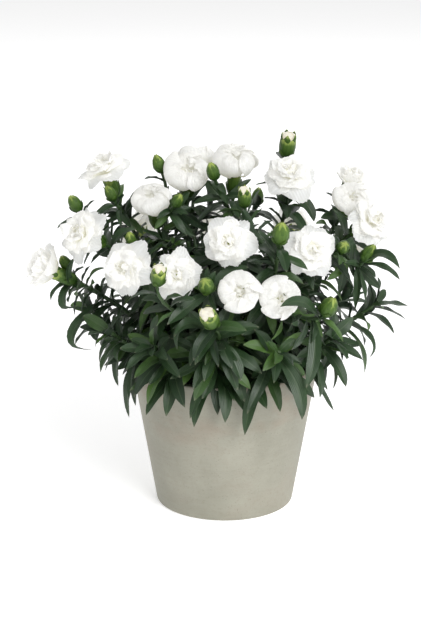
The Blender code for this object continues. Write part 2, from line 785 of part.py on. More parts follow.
def main():
    for obj in list(bpy.data.objects):
        bpy.data.objects.remove(obj)
    plant = bpy.data.collections.new("potted_carnation")
    cutters = bpy.data.collections.new("cutters")
    bpy.context.scene.collection.children.link(plant)
    bpy.context.scene.collection.children.link(cutters)

    ceramic = material("pot_ceramic", *CERAMIC)
    peat = material("compost_peat", *PEAT)
    green = material("leaf_green", *GREEN)
    white = material("petal_white", *WHITE)

    room = Room()
    room.add_object("pot", build_pot(plant, ceramic))
    bloom_number = tip_number = 0
    for number, spray in enumerate(SPRAYS, 1):
        for head in spray:
            if head.kind in BLOOM_FORMS:
                bloom_number += 1
                name = f"bloom_{bloom_number:02d}"
                room.add_object(name, add_skin(name, bloom(name, head), plant, white))
            elif head.kind == "opening":
                tip_number += 1
                name = f"bud_petals_{tip_number}"
                room.add_object(name, petal_tip(name, head, plant, white))
            room.add(f"spray_{number:02d}", green_head(head))

    feet = []
    nodes = []
    for number, spray in enumerate(SPRAYS, 1):
        name = f"spray_{number:02d}"
        stems = clear_stems(name, lambda attempt: spray_stems(number, spray, attempt), feet, room)
        rows = [LEADER_ROW] + [SIDE_ROW] * (len(stems) - 1)
        nodes.append((name, stems, rows, spray))
        feet.append(stems[0].joints[0])
        for stem in stems:
            room.add(name, leafy_stem(stem, ()))
    for number, shoot in enumerate(SHOOTS, 1):
        name = f"shoot_{number:02d}"
        stems = clear_stems(name, lambda attempt: shoot_stems(number, shoot, attempt), feet, room)
        nodes.append((name, stems, (OUTER_ROW, INNER_ROW), (None, None)))
        feet.append(stems[0].joints[0])
        for stem in stems:
            room.add(name, leafy_stem(stem, ()))
    room.add_object("compost", build_compost(feet, plant, cutters, peat))

    leaves = 0
    for name, stems, rows, heads in nodes:
        grown = grow_leaves(name, [pair_sites(stem, row) for stem, row in zip(stems, rows)], room)
        leaves += sum(len(row) for row in grown)
        parts = []
        for k, (stem, row, head) in enumerate(zip(stems, grown, heads)):
            skin = leafy_stem(stem, row, head, foot=k == 0)
            parts.append(add_skin(name if k == 0 else "side stem", skin, plant, green))
        join_sound(parts[0], parts[1:])
        smooth(parts[0])
    print(leaves, "leaves in all")


main()
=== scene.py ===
import math
import random
from collections import namedtuple

import bpy
import numpy as np
from mathutils import Matrix, Vector
from mathutils.kdtree import KDTree


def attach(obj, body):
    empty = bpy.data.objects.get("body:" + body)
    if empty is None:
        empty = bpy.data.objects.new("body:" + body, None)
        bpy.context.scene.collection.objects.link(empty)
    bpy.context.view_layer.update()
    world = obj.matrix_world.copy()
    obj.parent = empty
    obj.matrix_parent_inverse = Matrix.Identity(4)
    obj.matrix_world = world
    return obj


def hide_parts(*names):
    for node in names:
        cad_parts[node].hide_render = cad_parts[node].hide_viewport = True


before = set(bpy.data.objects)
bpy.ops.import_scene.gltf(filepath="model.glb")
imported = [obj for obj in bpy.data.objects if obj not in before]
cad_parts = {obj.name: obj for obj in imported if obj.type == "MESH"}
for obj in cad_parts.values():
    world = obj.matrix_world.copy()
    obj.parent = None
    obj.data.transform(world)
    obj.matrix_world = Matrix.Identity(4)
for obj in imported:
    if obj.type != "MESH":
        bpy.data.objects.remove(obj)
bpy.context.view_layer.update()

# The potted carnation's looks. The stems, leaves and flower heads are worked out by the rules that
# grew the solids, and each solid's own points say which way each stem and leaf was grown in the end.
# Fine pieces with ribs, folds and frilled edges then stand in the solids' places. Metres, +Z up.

MM = 0.001
UP = Vector((0, 0, 1))

# A short way along a curve or a blade, as a share of it, that shows how it runs there, and the level part
# below which an axis counts as upright
NEAR = 0.01
LEAST_LEVEL = 0.001

# The photo's view of the plant
VIEW_CENTRE = Vector((-11, 0, 148)) * MM
VIEW_DISTANCE = 1.6
VIEW_DROP = 17.5
VIEW_LENS = 119
SENSOR_WIDTH = 36
PHOTO_SIZE = (421, 631)

# The solids' own sizes, as the part's source has them
POT_HEIGHT = 114 * MM
POT_RIM_RADIUS = 72.5 * MM
POT_BASE_RADIUS = 53 * MM
POT_WALL = 6 * MM
POT_FLOOR = 7 * MM
POT_EDGE = 1.5 * MM
SOIL_TOP = 102 * MM
REST_GAP = 0.3 * MM
STEM_FOOT_RADIUS = 1.9 * MM
STEM_TOP_RADIUS = 1.3 * MM
FOOT_DEPTH = 12 * MM
FOOT_RISE = 1 * MM
FOOT_SHARE = 0.30
FOOT_UPRIGHT = 2
BRANCH_DROP = 34 * MM
BRANCH_DROP_RANGE = (0.8, 1.1)
STEM_PULL = (0.34, 0.44)
SIDE_PULL = (0.3, 0.4)
STEM_TRIES = 40
STRAY = 2 * MM
STRAY_STEP = 0.5 * MM
SHOOT_FOOT_RING = 53 * MM
SHOOT_FOOT_STRAY = 0.6
SHOOT_TIP_STRAY = 0.5
SHOOT_TIP_TILT = 42
INNER_TIP_TILT = 70
CALYX_HEIGHT = 18 * MM
BUD_LENGTH_SHARE = 1.32
NECK = 0.8 * MM
PETALS = 5
RING_SPREAD = 0.07
PETAL_SIZES = (0.9, 1.06)
LEAF_ROOT_SHARE = 0.24
LEAF_WIDEST = 0.45
LEAF_TRIES = 14
TRY_STRAY = 0.3
TRY_SHRINK = 0.02
LEADER_BARE_FOOT = 16 * MM
LEADER_BARE_TOP = 14 * MM
PAIR_SPACING = 22 * MM
LEAST_PAIRS = 3
SIDE_PAIRS = (0.5, 0.76, 2)
OUTER_PAIRS = (0.34, 0.95, 5)
INNER_PAIRS = (0.4, 0.95, 4)

# A row's leaves go from its first length, lift and bend at the foot to its second ones at the top. As they
# get shorter, this share of their width goes with their length.
Row = namedtuple("Row", "lengths width lifts bends")
NARROWING = 0.5
LEADER_ROW = Row((45 * MM, 27 * MM), 9.8 * MM, (0.5, 0.8), (1.5, 1.1))
SIDE_ROW = Row((27 * MM, 18 * MM), 6 * MM, (0.6, 0.8), (1.1, 0.9))
OUTER_ROW = Row((49 * MM, 27 * MM), 10.4 * MM, (0.3, 1.0), (1.6, 0.8))
INNER_ROW = Row((45 * MM, 27 * MM), 9.8 * MM, (0.4, 1.0), (1.5, 0.8))

# How far a single leaf strays from its row, and its least bend, for the solids' leaves and for added ones
Draws = namedtuple("Draws", "turn size lift bend sway droop least_bend")
SOLID_DRAWS = Draws((-0.25, 0.25), (0.86, 1.12), (-0.16, 0.2), (-0.3, 0.3), (-0.1, 0.1), (0.04, 0.22), 0.25)
SOLID_WIDTHS = (0.92, 1.08)
ADDED_DRAWS = Draws((-0.8, 0.8), (0.75, 1.2), (-0.25, 0.3), (-0.5, 0.5), (-0.15, 0.15), (0.02, 0.2), 0.3)

Head = namedtuple("Head", "kind x y z azimuth tilt size")
Shoot = namedtuple("Shoot", "azimuth reach height inner_azimuth inner_reach inner_height")
Stem = namedtuple("Stem", "curve places joints ways sides radii")
Site = namedtuple("Site", "joint root stem facing length width lift bend")
Leaf = namedtuple("Leaf", "root out up side length width lift bend sway droop")

# How far out and how high each ring of the solids' petals reaches, as shares of the flower's radius
BLOOM_FORMS = {
    "open": ((1.0, 0.14), (0.80, 0.46), (0.44, 0.66)),
    "round": ((1.0, 0.46), (0.86, 0.84), (0.46, 0.98)),
    "half": ((1.0, 0.70), (0.74, 1.05), (0.40, 1.16)),
}

# Each spray's heads, its leader first. Places and sizes are in millimetres. Azimuth 0 faces the front
# and 90 faces +X, and tilt is the head's angle above level, both in degrees.
SPRAYS = tuple(tuple(Head(*row) for row in rows) for rows in (
    (("half", -142, -22, 196, -82, 28, 36), ("bud", -120, -14, 193, -60, 62, 9)),
    (("open", -107, -38, 224, -48, 30, 43), ("bud", -112, -10, 238, -70, 60, 10)),
    (("open", -92, 12, 262, -60, 66, 43), ("bud", -86, 2, 243, -70, 62, 9)),
    (("round", -56, -8, 245, -25, 66, 36), ("bud", -50, 22, 261, -80, 70, 10)),
    (("round", -28, 10, 262, 5, 58, 40), ("bud", -36, -34, 247, 40, 50, 9)),
    (("round", 8, 18, 270, 10, 74, 42), ("bud", -9, -6, 262, -40, 68, 10)),
    (("open", -73, -76, 208, -25, 18, 44), ("bud", -70, -32, 217, -30, 65, 8)),
    (("open", -35, -90, 207, 2, 12, 38),),
    (("open", 2, -84, 230, -5, 20, 41), ("bud", -14, -105, 203, -8, 40, 12)),
    (("round", 10, -107, 200, 5, 22, 36),),
    (("round", 39, -101, 193, 15, 18, 36), ("bud", 74, -92, 183, 25, 52, 13)),
    (("open", 62, -70, 220, 12, 22, 42), ("bud", 86, -56, 218, 10, 30, 10)),
    (("bud", 39, -94, 238, 8, 62, 13), ("opening", 14, -45, 251, -10, 74, 10)),
    (("open", 49, 5, 259, 2, 48, 44), ("opening", 48, 42, 270, 20, 72, 13)),
    (("round", 96, 2, 242, 18, 44, 32), ("half", 99, 36, 252, 30, 60, 26)),
    (("open", 110, -24, 230, 42, 34, 42), ("bud", 105, -50, 211, 50, 56, 11)),
    (("opening", -11, -118, 182, -20, 42, 13), ("opening", -48, -115, 212, 15, 62, 11)),
    (("open", -70, 84, 196, -140, 34, 42), ("bud", -96, 58, 206, -115, 52, 10)),
    (("open", -8, 104, 192, -176, 26, 43), ("bud", -34, 84, 212, -165, 60, 11)),
    (("round", -20, 58, 262, 165, 62, 40), ("bud", 26, 74, 222, 160, 58, 10)),
    (("open", 56, 92, 194, 152, 28, 42), ("open", 104, 62, 186, 116, 26, 40)),
))

# The tips of the forked shoots without flowers, the outer one first, in degrees and millimetres
SHOOTS = tuple(Shoot(*row) for row in (
    (-6, 92, 152, -24, 44, 176),
    (24, 96, 148, 42, 50, 172),
    (52, 100, 150, 66, 60, 184),
    (80, 116, 164, 98, 44, 206),
    (112, 100, 150, 126, 56, 194),
    (143, 98, 154, 160, 40, 200),
    (174, 98, 150, 192, 52, 194),
    (206, 98, 152, 222, 42, 202),
    (237, 100, 154, 252, 58, 196),
    (268, 104, 152, 284, 44, 208),
    (298, 98, 150, 312, 58, 186),
    (326, 96, 150, 342, 48, 178),
))

# How close a solid's point lies to its stem's foot, to the level of the stem's end or to its leaf's tip,
# and the decimals that tell two points apart
FOOT_MATCH = 0.6 * MM
END_MATCH = 0.1 * MM
TIP_MATCH = 0.3 * MM
DECIMALS = 6

# Fine stems
STEM_SIDES = 8
LEAST_RINGS = 8
STEM_STEP = 3 * MM
KNOT_SWELL = 0.42
KNOT_REACH = 1.3 * MM

# Fine leaves: the number of points along a blade, closer together towards its tip, and places across it
BLADE = (14, (-1, -0.62, -0.22, 0, 0.22, 0.62, 1))
SMALL_BLADE = (9, (-1, -0.5, 0, 0.5, 1))
SMALL_LEAF = 25 * MM
LEAF_PACKING = 0.9
LEAF_END = 0.995
LEAF_TAPER = 2.9

# How far a leaf's edges rise and its midrib sinks, its thickness at edge, rib and tip, how its edges wave,
# one behind the other, and how its blade twists
EDGE_RISE = 0.55 * MM
RIB_SINK = 0.65 * MM
FOLD_POWER = 1.6
LEAF_EDGE = 0.22 * MM
LEAF_RIB = 0.42 * MM
TIP_THICKNESS = 0.35
LEAF_WAVE = 0.45 * MM
LEAF_WAVES = (1.6, 2.6)
WAVE_LAG = 1.7
LEAF_TWIST = 0.45
TWIST_POWER = 1.5


# The plant's plan, by the same rules and the same draws as the solids


def heading(azimuth, tilt):
    a = math.radians(azimuth)
    t = math.radians(tilt)
    return Vector((math.sin(a) * math.cos(t), -math.cos(a) * math.cos(t), math.sin(t)))


def turned_round(axis, turn):
    level = axis.cross(UP)
    level = level.normalized() if level.length > LEAST_LEVEL else Vector((1, 0, 0))
    return Matrix.Rotation(turn, 3, axis) @ level


def unit(rows):
    return rows / np.linalg.norm(rows, axis=-1, keepdims=True)


def between(ends, share):
    return ends[0] + (ends[1] - ends[0]) * share


def round_turns(count):
    return np.linspace(0, math.tau, count, endpoint=False)


class View:
    """The photo's view: the point that a pixel shows, and the pixel that shows a point."""

    def __init__(self):
        self.eye = VIEW_CENTRE - heading(180, -VIEW_DROP) * VIEW_DISTANCE
        self.ahead = (VIEW_CENTRE - self.eye).normalized()
        self.right = self.ahead.cross(UP).normalized()
        self.up = self.right.cross(self.ahead)
        self.focal = VIEW_LENS / SENSOR_WIDTH * max(PHOTO_SIZE)

    def pixel(self, point):
        way = point - self.eye
        share = self.focal / way.dot(self.ahead)
        x, y = way.dot(self.right) * share, way.dot(self.up) * share
        return PHOTO_SIZE[0] / 2 + x, PHOTO_SIZE[1] / 2 - y

    def point(self, pixel, depth):
        x, y = pixel[0] - PHOTO_SIZE[0] / 2, PHOTO_SIZE[1] / 2 - pixel[1]
        return self.eye + (self.ahead + (self.right * x + self.up * y) / self.focal) * depth


def arc(start, start_way, end, end_way, pull):
    span = (end - start).length * pull
    b = start + start_way * span
    c = end - end_way * span

    def along(t):
        s = 1 - t
        return start * s**3 + b * 3 * s * s * t + c * 3 * s * t * t + end * t**3

    return along


def arc_length(curve, steps=24):
    return sum((curve((i + 1) / steps) - curve(i / steps)).length for i in range(steps))


def way_at(curve, place):
    return (curve(place + NEAR) - curve(place - NEAR)).normalized()


def stem_of(curve, first, last, pairs, low, turn):
    places = [0] + [first + (last - first) * k / max(1, pairs - 1) for k in range(pairs)] + [1]
    joints = [curve(t) for t in places]
    ways = []
    for k in range(len(joints)):
        before, after = joints[max(0, k - 1)], joints[min(len(joints) - 1, k + 1)]
        ways.append((after - before).normalized())
    sides = []
    side = turned_round(ways[0], turn)
    for way in ways:
        side = (side - way * side.dot(way)).normalized()
        sides.append(side)
    radii = [between((low, STEM_TOP_RADIUS), t) for t in places]
    return Stem(curve, places, joints, ways, sides, radii)


def stem_point(stem, t):
    place = t * (len(stem.joints) - 1)
    run = min(int(place), len(stem.joints) - 2)
    return stem.joints[run].lerp(stem.joints[run + 1], place - run)


def head_way(head):
    return heading(head.azimuth, head.tilt)


def head_height(head):
    """How far a head's green part reaches from its seat."""
    return CALYX_HEIGHT if head.kind in BLOOM_FORMS else head.size * MM * BUD_LENGTH_SHARE


def head_seat(head):
    centre = Vector((head.x, head.y, head.z)) * MM
    green = head_height(head)
    if head.kind not in BLOOM_FORMS:
        return centre - head_way(head) * green / 2
    outer, _, inner = BLOOM_FORMS[head.kind]
    return centre - head_way(head) * (green + (outer[1] + inner[1]) / 4 * head.size * MM)


def head_place(head, along):
    """A placement on a head's axis, some distance up from its seat, with Z along the head."""
    turn = head_way(head).to_track_quat("Z", "Y").to_matrix().to_4x4()
    return Matrix.Translation(head_seat(head) + head_way(head) * along) @ turn


def head_top(head):
    return head_place(head, NECK + head_height(head) + REST_GAP)


def strayed(rng, attempt):
    reach = 0 if attempt == 0 else STRAY + STRAY_STEP * attempt
    turn = rng.uniform(0, math.tau)
    return Vector((math.cos(turn), math.sin(turn), 0)) * reach


def rising(foot, tip, way, pull):
    start_way = (UP * FOOT_UPRIGHT + (tip - foot).normalized()).normalized()
    return arc(foot + UP * FOOT_RISE, start_way, tip, way, pull)


def forked(rng, stem, fork, tip, way, pairs):
    start = stem_point(stem, fork)
    start_way = (stem_point(stem, fork + NEAR) - start).normalized()
    curve = arc(start, start_way, tip, way, rng.uniform(*SIDE_PULL))
    return stem_of(curve, *pairs, STEM_TOP_RADIUS, rng.uniform(0, math.tau))


def spray_stems(number, spray, attempt):
    rng = random.Random(f"spray {number} try {attempt}")
    leader = spray[0]
    foot = Vector((leader.x, leader.y, 0)) * MM * FOOT_SHARE + UP * SOIL_TOP + strayed(rng, attempt)
    curve = rising(foot, head_seat(leader), head_way(leader), rng.uniform(*STEM_PULL))
    length = arc_length(curve)
    pairs = max(LEAST_PAIRS, round((length - LEADER_BARE_FOOT - LEADER_BARE_TOP) / PAIR_SPACING))
    main = stem_of(curve, LEADER_BARE_FOOT / length, 1 - LEADER_BARE_TOP / length, pairs,
                   STEM_FOOT_RADIUS, rng.uniform(0, math.tau))
    stems = [main]
    for head in spray[1:]:
        runs = pairs + 1
        drop = BRANCH_DROP * rng.uniform(*BRANCH_DROP_RANGE) / length * runs
        fork = (int(runs - drop) + 0.5) / runs
        stems.append(forked(rng, main, fork, head_seat(head), head_way(head), SIDE_PAIRS))
    return stems


def shoot_tip(azimuth, reach, height):
    return heading(azimuth, 0) * reach * MM + UP * height * MM


def shoot_stems(number, shoot, attempt):
    rng = random.Random(f"shoot {number} try {attempt}")
    foot = heading(shoot.azimuth, 0) * SHOOT_FOOT_RING + UP * SOIL_TOP
    foot += strayed(rng, attempt) * SHOOT_FOOT_STRAY
    tip = shoot_tip(shoot.azimuth, shoot.reach, shoot.height)
    curve = rising(foot, tip, heading(shoot.azimuth, SHOOT_TIP_TILT), rng.uniform(*STEM_PULL))
    outer = stem_of(curve, *OUTER_PAIRS, STEM_FOOT_RADIUS, rng.uniform(0, math.tau))
    inner_tip = shoot_tip(shoot.inner_azimuth, shoot.inner_reach, shoot.inner_height)
    inner_tip += strayed(rng, attempt) * SHOOT_TIP_STRAY
    inner_way = heading(shoot.inner_azimuth, INNER_TIP_TILT)
    fork = 0.5 / (len(outer.joints) - 1)
    return [outer, forked(rng, outer, fork, inner_tip, inner_way, INNER_PAIRS)]


def row_at(row, share, lengths):
    """The length, width, lift and bend of a row's leaves at a share of its way up."""
    length = between(lengths, share)
    width = row.width * (1 - NARROWING + NARROWING * length / row.lengths[0])
    return length, width, between(row.lifts, share), between(row.bends, share)


def pair_sites(stem, row):
    sites = []
    pairs = len(stem.joints) - 2
    for pair in range(pairs):
        joint = pair + 1
        way, side = stem.ways[joint], stem.sides[joint]
        facing = way.cross(side) if pair % 2 else side
        looks = row_at(row, pair / max(1, pairs - 1), row.lengths)
        sites.append(Site(joint, stem.joints[joint], way, facing, *looks))
    return sites


def drawn_leaf(rng, draws, root, way, out, length, width, lift, bend, stray=1):
    """A leaf that leaves a stem with some way towards out, with its lift, bend, sway and droop drawn."""
    return Leaf(
        root=root,
        out=out,
        up=way,
        side=way.cross(out),
        length=length,
        width=width,
        lift=lift + rng.uniform(*draws.lift) * stray,
        bend=max(draws.least_bend, bend + rng.uniform(*draws.bend) * stray),
        sway=rng.uniform(*draws.sway) * stray,
        droop=rng.uniform(*draws.droop),
    )


def leaf_try(label, site, side, attempt):
    rng = random.Random(f"{label} side {side} try {attempt}")
    stray = 1 + TRY_STRAY * attempt
    turn = side * math.pi + rng.uniform(*SOLID_DRAWS.turn) * stray
    out = Matrix.Rotation(turn, 3, site.stem) @ site.facing
    length = site.length * rng.uniform(*SOLID_DRAWS.size) * (1 - TRY_SHRINK * attempt)
    width = site.width * rng.uniform(*SOLID_WIDTHS)
    looks = (length, width, site.lift, site.bend, stray)
    return drawn_leaf(rng, SOLID_DRAWS, site.root, site.stem, out, *looks)


def leaf_line(leaf, s):
    """Points of the midrib for an array s, 0 at the root to 1 at the tip."""
    if isinstance(leaf, SeenBlade):
        return s[:, None] ** np.arange(len(leaf.line))[::-1] @ leaf.line
    out = (math.sin(leaf.lift) - np.sin(leaf.lift - leaf.bend * s)) / leaf.bend
    up = (np.cos(leaf.lift - leaf.bend * s) - math.cos(leaf.lift)) / leaf.bend
    path = np.outer(out, leaf.out) + np.outer(up, leaf.up)
    path += np.outer(leaf.sway * s * s, leaf.side) - np.outer(leaf.droop * s * s, UP)
    return np.array(leaf.root) + path * leaf.length


def leaf_width(leaf, s):
    rise = LEAF_ROOT_SHARE + (1 - LEAF_ROOT_SHARE) * np.sin(np.minimum(1, s / LEAF_WIDEST) * math.pi / 2)
    return leaf.width * rise * (1 - np.maximum(0, (s - LEAF_WIDEST) / (1 - LEAF_WIDEST)) ** LEAF_TAPER)


def grown_stems(node, ways_to_run):
    """The stems as the solid has them: of all ways to run, the one whose foot stands in its place."""
    points = [v.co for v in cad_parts[node].data.vertices]
    end = SOIL_TOP - FOOT_DEPTH
    ring = {(round(p.x, DECIMALS), round(p.y, DECIMALS)) for p in points
            if abs(p.z - end) < END_MATCH and p.xy.length < POT_BASE_RADIUS + POT_WALL}
    foot = Vector([sum(column) / len(ring) for column in zip(*ring)])
    tries = [ways_to_run(attempt) for attempt in range(STEM_TRIES)]
    stems = min(tries, key=lambda stems: (stems[0].joints[0].xy - foot).length)
    if (stems[0].joints[0].xy - foot).length > FOOT_MATCH:
        raise ValueError(f"{node} has no stem that fits its solid")
    return stems


def grown_leaves(node, stems, rows):
    """The leaves that the solid has."""
    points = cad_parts[node].data.vertices
    tree = KDTree(len(points))
    for i, point in enumerate(points):
        tree.insert(point.co, i)
    tree.balance()
    leaves = []
    for number, (stem, row) in enumerate(zip(stems, rows)):
        for site in pair_sites(stem, row):
            for side in range(2):
                label = f"{node} stem {number} pair {site.joint}"
                for attempt in range(LEAF_TRIES):
                    leaf = leaf_try(label, site, side, attempt)
                    tip = leaf_line(leaf, np.array([1.0]))[0]
                    if tree.find(tip)[2] < TIP_MATCH:
                        leaves.append(leaf)
                        break
    return leaves


# Leaves between the solids' own. They are thin, so more of them have room than in the solids.

CROWD_TRIES = 14
CROWD_GAP = 1.85 * MM
STEM_CROWD_GAP = 2.4 * MM
POT_CROWD_GAP = 1 * MM
SOIL_CROWD_GAP = 2 * MM
CALYX_MIDDLE = 12 * MM
CALYX_ROOM = 7.5 * MM
SIGHT_SHARE = 0.8
BACK_SPRAYS = ("spray_18", "spray_19", "spray_20", "spray_21")
STEM_MARKS = 40
BLADE_MARKS = np.array([0.3, 0.5, 0.7, 0.88, 1.0])
WIDE_MARKS = 3
EDGE_MARK = 0.42
LONG_SIDE_STEM = 50 * MM
LONG_SIDE_LENGTHS = (36 * MM, 22 * MM)

# On each run between leaf pairs: the pairs' places and stray along it, and their length
LONG_RUN = 17 * MM
LONG_RUN_PAIRS = (0.3, 0.68)
SHORT_RUN_PAIRS = (0.5,)
PAIR_STRAY = (-0.08, 0.08)
PAIR_LENGTH = 0.88

# How often an axil has a leaf, and its length, width, lift and bend against the run's own
AXIL_SHARE = 0.6
AXIL_LENGTH = 0.6
AXIL_WIDTH = 0.75
AXIL_LIFT = 0.3
AXIL_BEND = 0.7

# The tuft at a tip: its place, and its leaves' number, length and width shares, lift and bend
TUFT_PLACE = 0.975
TUFT_LEAVES = 3
TUFT_LENGTH = 0.7
TUFT_WIDTH = 0.55
TUFT_LIFT = 1.0
TUFT_BEND = 0.7


def blade_marks(leaf):
    """Points spread over a blade: up its midrib, and on both edges where it is wide."""
    middle = leaf_line(leaf, BLADE_MARKS)
    wide = middle[:WIDE_MARKS]
    edge = np.array(leaf.side) * leaf.width * EDGE_MARK
    return np.concatenate([middle, wide + edge, wide - edge])


def distances(points, others):
    """How far each point of one array is from each point of the other."""
    squares = (points**2).sum(-1)[..., None] + (others**2).sum(-1) - 2 * points @ others.T
    return np.sqrt(np.maximum(squares, 0))


class Crowd:
    """What the added leaves keep clear of."""

    def __init__(self, blades, stems, balls, view):
        self.blades = np.concatenate(blades)
        self.stems = np.array(stems)
        self.centres = np.array([centre for centre, _, _ in balls])
        self.reaches = np.array([reach for _, reach, _ in balls])
        self.shown = [k for k, (_, _, shown) in enumerate(balls) if shown]
        self.sights = unit(np.array(view.eye) - self.centres[self.shown])

    def lined_up(self, marks, side):
        """Whether each mark stands before a flower, as the photo sees them, or behind it if side is -1."""
        gaps = marks[..., None, :] - self.centres[self.shown]
        ahead = (gaps * self.sights).sum(-1)
        aside = np.sqrt(np.maximum((gaps**2).sum(-1) - ahead**2, 0))
        return ((ahead * side > 0) & (aside < self.reaches[self.shown] * SIGHT_SHARE)).any(-1)

    def rooms(self, forms, in_sight=True):
        """For each form of a leaf, how far it stays from all blades, or nothing where it meets the pot, a
        stem or a flower, or hides a flower from sight."""
        marks = np.array([blade_marks(leaf) for leaf in forms])
        out, height = np.hypot(marks[..., 0], marks[..., 1]), marks[..., 2]
        inside = out < POT_BASE_RADIUS + POT_WALL
        outside = out > POT_RIM_RADIUS + POT_CROWD_GAP
        met = (height < POT_HEIGHT + POT_CROWD_GAP) & ~inside & ~outside
        met |= (height < SOIL_TOP + SOIL_CROWD_GAP) & inside
        met |= (distances(marks, self.centres) < self.reaches).any(-1)
        met |= distances(marks, self.stems).min(-1) < STEM_CROWD_GAP
        if in_sight:
            met |= self.lined_up(marks, 1)
        return np.where(met.any(1), 0, distances(marks, self.blades).min((1, 2)))

    def keep(self, leaf):
        """Adds a leaf to the blades that the next ones keep clear of."""
        self.blades = np.concatenate([self.blades, blade_marks(leaf)])
        return leaf

    def grow(self, forms):
        """The roomiest of some forms of a leaf, if it has room enough."""
        rooms = self.rooms(forms)
        return self.keep(forms[rooms.argmax()]) if rooms.max() >= CROWD_GAP else None


# The leaves that stand out in the photo. Each has points along its midrib from where it comes out of the
# crowd to its tip, in pixels of the photo, its width in millimetres, how far it turns its face to the
# viewer, and its tint
SeenLeaf = namedtuple("SeenLeaf", "line width turned tint")
SEEN_LEAVES = tuple(SeenLeaf(*row) for row in (
    (((106, 309), (90, 311), (76, 323), (70, 337), (75, 347), (92, 349)), 8.5, 0.85, 0.5),
    (((76, 290), (66, 290), (61, 297), (65, 306), (78, 305)), 8.5, 0.9, 0.3),
    (((66, 286), (59, 286), (53, 292), (51, 301)), 5, 0.8, 0.4),
    (((74, 289), (69, 278), (70, 265), (76, 256)), 5, 0.8, 0.4),
    (((112, 311), (95, 319), (93, 330), (100, 343)), 7.5, 0.8, 0.6),
    (((122, 328), (108, 337), (109, 354)), 7, 0.8, 0.5),
    (((130, 345), (117, 350), (118, 362)), 7, 1.0, 0.6),
    (((140, 360), (128, 362), (117, 370)), 7.5, 1.0, 0.4),
    (((127, 362), (130, 382), (129, 400)), 5, 0.7, 0.4),
    (((140, 334), (146, 352), (153, 368)), 8, 1.2, 0.55),
    (((163, 362), (157, 372), (149, 385)), 8, 1.2, 0.5),
    (((206, 360), (190, 368), (170, 379)), 9, 1.1, 0.6),
    (((218, 360), (210, 380), (202, 399)), 9, 1.2, 0.6),
    (((207, 366), (201, 380), (194, 394)), 7, 1.2, 0.85),
    (((224, 362), (225, 392), (225, 423)), 10, 1.4, 0.6),
    (((226, 364), (230, 385), (234, 401)), 7, 1.2, 0.7),
    (((240, 360), (256, 385), (267, 409)), 10, 1.3, 0.65),
    (((264, 358), (272, 372), (280, 386)), 9, 1.2, 0.6),
    (((281, 355), (298, 388), (302, 420)), 10.5, 1.3, 0.7),
    (((311, 332), (314, 358), (306, 388)), 10, 1.3, 0.6),
    (((222, 343), (235, 362), (241, 381)), 10.5, 1.3, 0.5),
    (((312, 370), (322, 390), (334, 411)), 5, 0.7, 0.4),
    (((322, 348), (337, 364), (346, 387)), 9.5, 1.1, 0.5),
    (((320, 335), (345, 348), (363, 360)), 7, 1.0, 0.5),
    (((342, 322), (366, 332), (374, 346), (369, 358)), 7, 0.6, 0.5),
    (((352, 278), (364, 288), (366, 305)), 6.5, 0.7, 0.5),
    (((350, 280), (357, 293), (355, 310)), 6.5, 1.0, 0.5),
    (((362, 252), (382, 253), (400, 269)), 7, 0.9, 0.5),
    (((360, 262), (385, 267), (400, 280)), 5.5, 0.7, 0.4),
    (((214, 294), (225, 275), (249, 267)), 9, 1.1, 0.5),
    (((207, 301), (186, 308), (167, 325)), 9.5, 1.1, 0.5),
    (((207, 333), (190, 323), (174, 337)), 9, 1.0, 0.5),
    (((214, 341), (200, 346), (190, 366)), 8.5, 1.0, 0.6),
    (((228, 310), (240, 325), (253, 343)), 9, 1.1, 0.5),
    (((250, 304), (232, 312), (222, 328)), 9, 1.1, 0.5),
    (((313, 316), (303, 302), (280, 307)), 8.5, 1.0, 0.5),
    (((292, 340), (272, 326), (253, 328)), 10, 1.1, 0.5),
    (((283, 356), (264, 347), (243, 345)), 8, 1.2, 0.98),
    (((325, 271), (314, 282), (301, 301)), 11, 1.3, 0.5),
    (((255, 230), (262, 240), (263, 255)), 11, 1.2, 0.4),
    (((304, 195), (309, 207), (314, 222)), 9, 1.1, 0.4),
    (((327, 223), (334, 216), (340, 207)), 10, 1.2, 0.3),
    (((135, 229), (123, 218), (102, 212)), 7, 1.0, 0.4),
))
SEEN_GAP = 1.0 * MM
SEEN_ROOTS = 40
SEEN_LEANS = (0.25, 0.4, 0.12, 0.55, 0.7, 0.9, 0.0, 1.15, 1.4)
DEPTH_COST = 150
ROOT_PLACES = np.linspace(0.06, 0.9, 50)
LINE_POWER = 3
SeenBlade = namedtuple("SeenBlade", "line side length width")


def seen_blade(view, seen, root, lean):
    """A leaf whose midrib runs through the pixels of the one seen, and leans towards the viewer."""
    depth = (root - view.eye).dot(view.ahead)
    pixels = np.array([view.pixel(root), *seen.line[1:]])
    runs = np.concatenate([[0], np.cumsum(np.linalg.norm(np.diff(pixels, axis=0), axis=1))])
    shares = runs / runs[-1]
    reach = runs[-1] * depth / view.focal
    depths = depth - lean * reach * np.sin(shares * math.pi / 2)
    points = np.array([view.point(pixel, depth) for pixel, depth in zip(pixels, depths)])
    line = np.polyfit(shares, points, min(LINE_POWER, len(points) - 1))
    length = np.linalg.norm(np.diff(points, axis=0), axis=1).sum()
    across = Vector(points[-1] - points[0]).cross(view.ahead).normalized()
    edge = view.ahead if across.z > 0 else -view.ahead
    side = across * math.sin(seen.turned) + edge * math.cos(seen.turned)
    return SeenBlade(line, side, length, seen.width * MM)


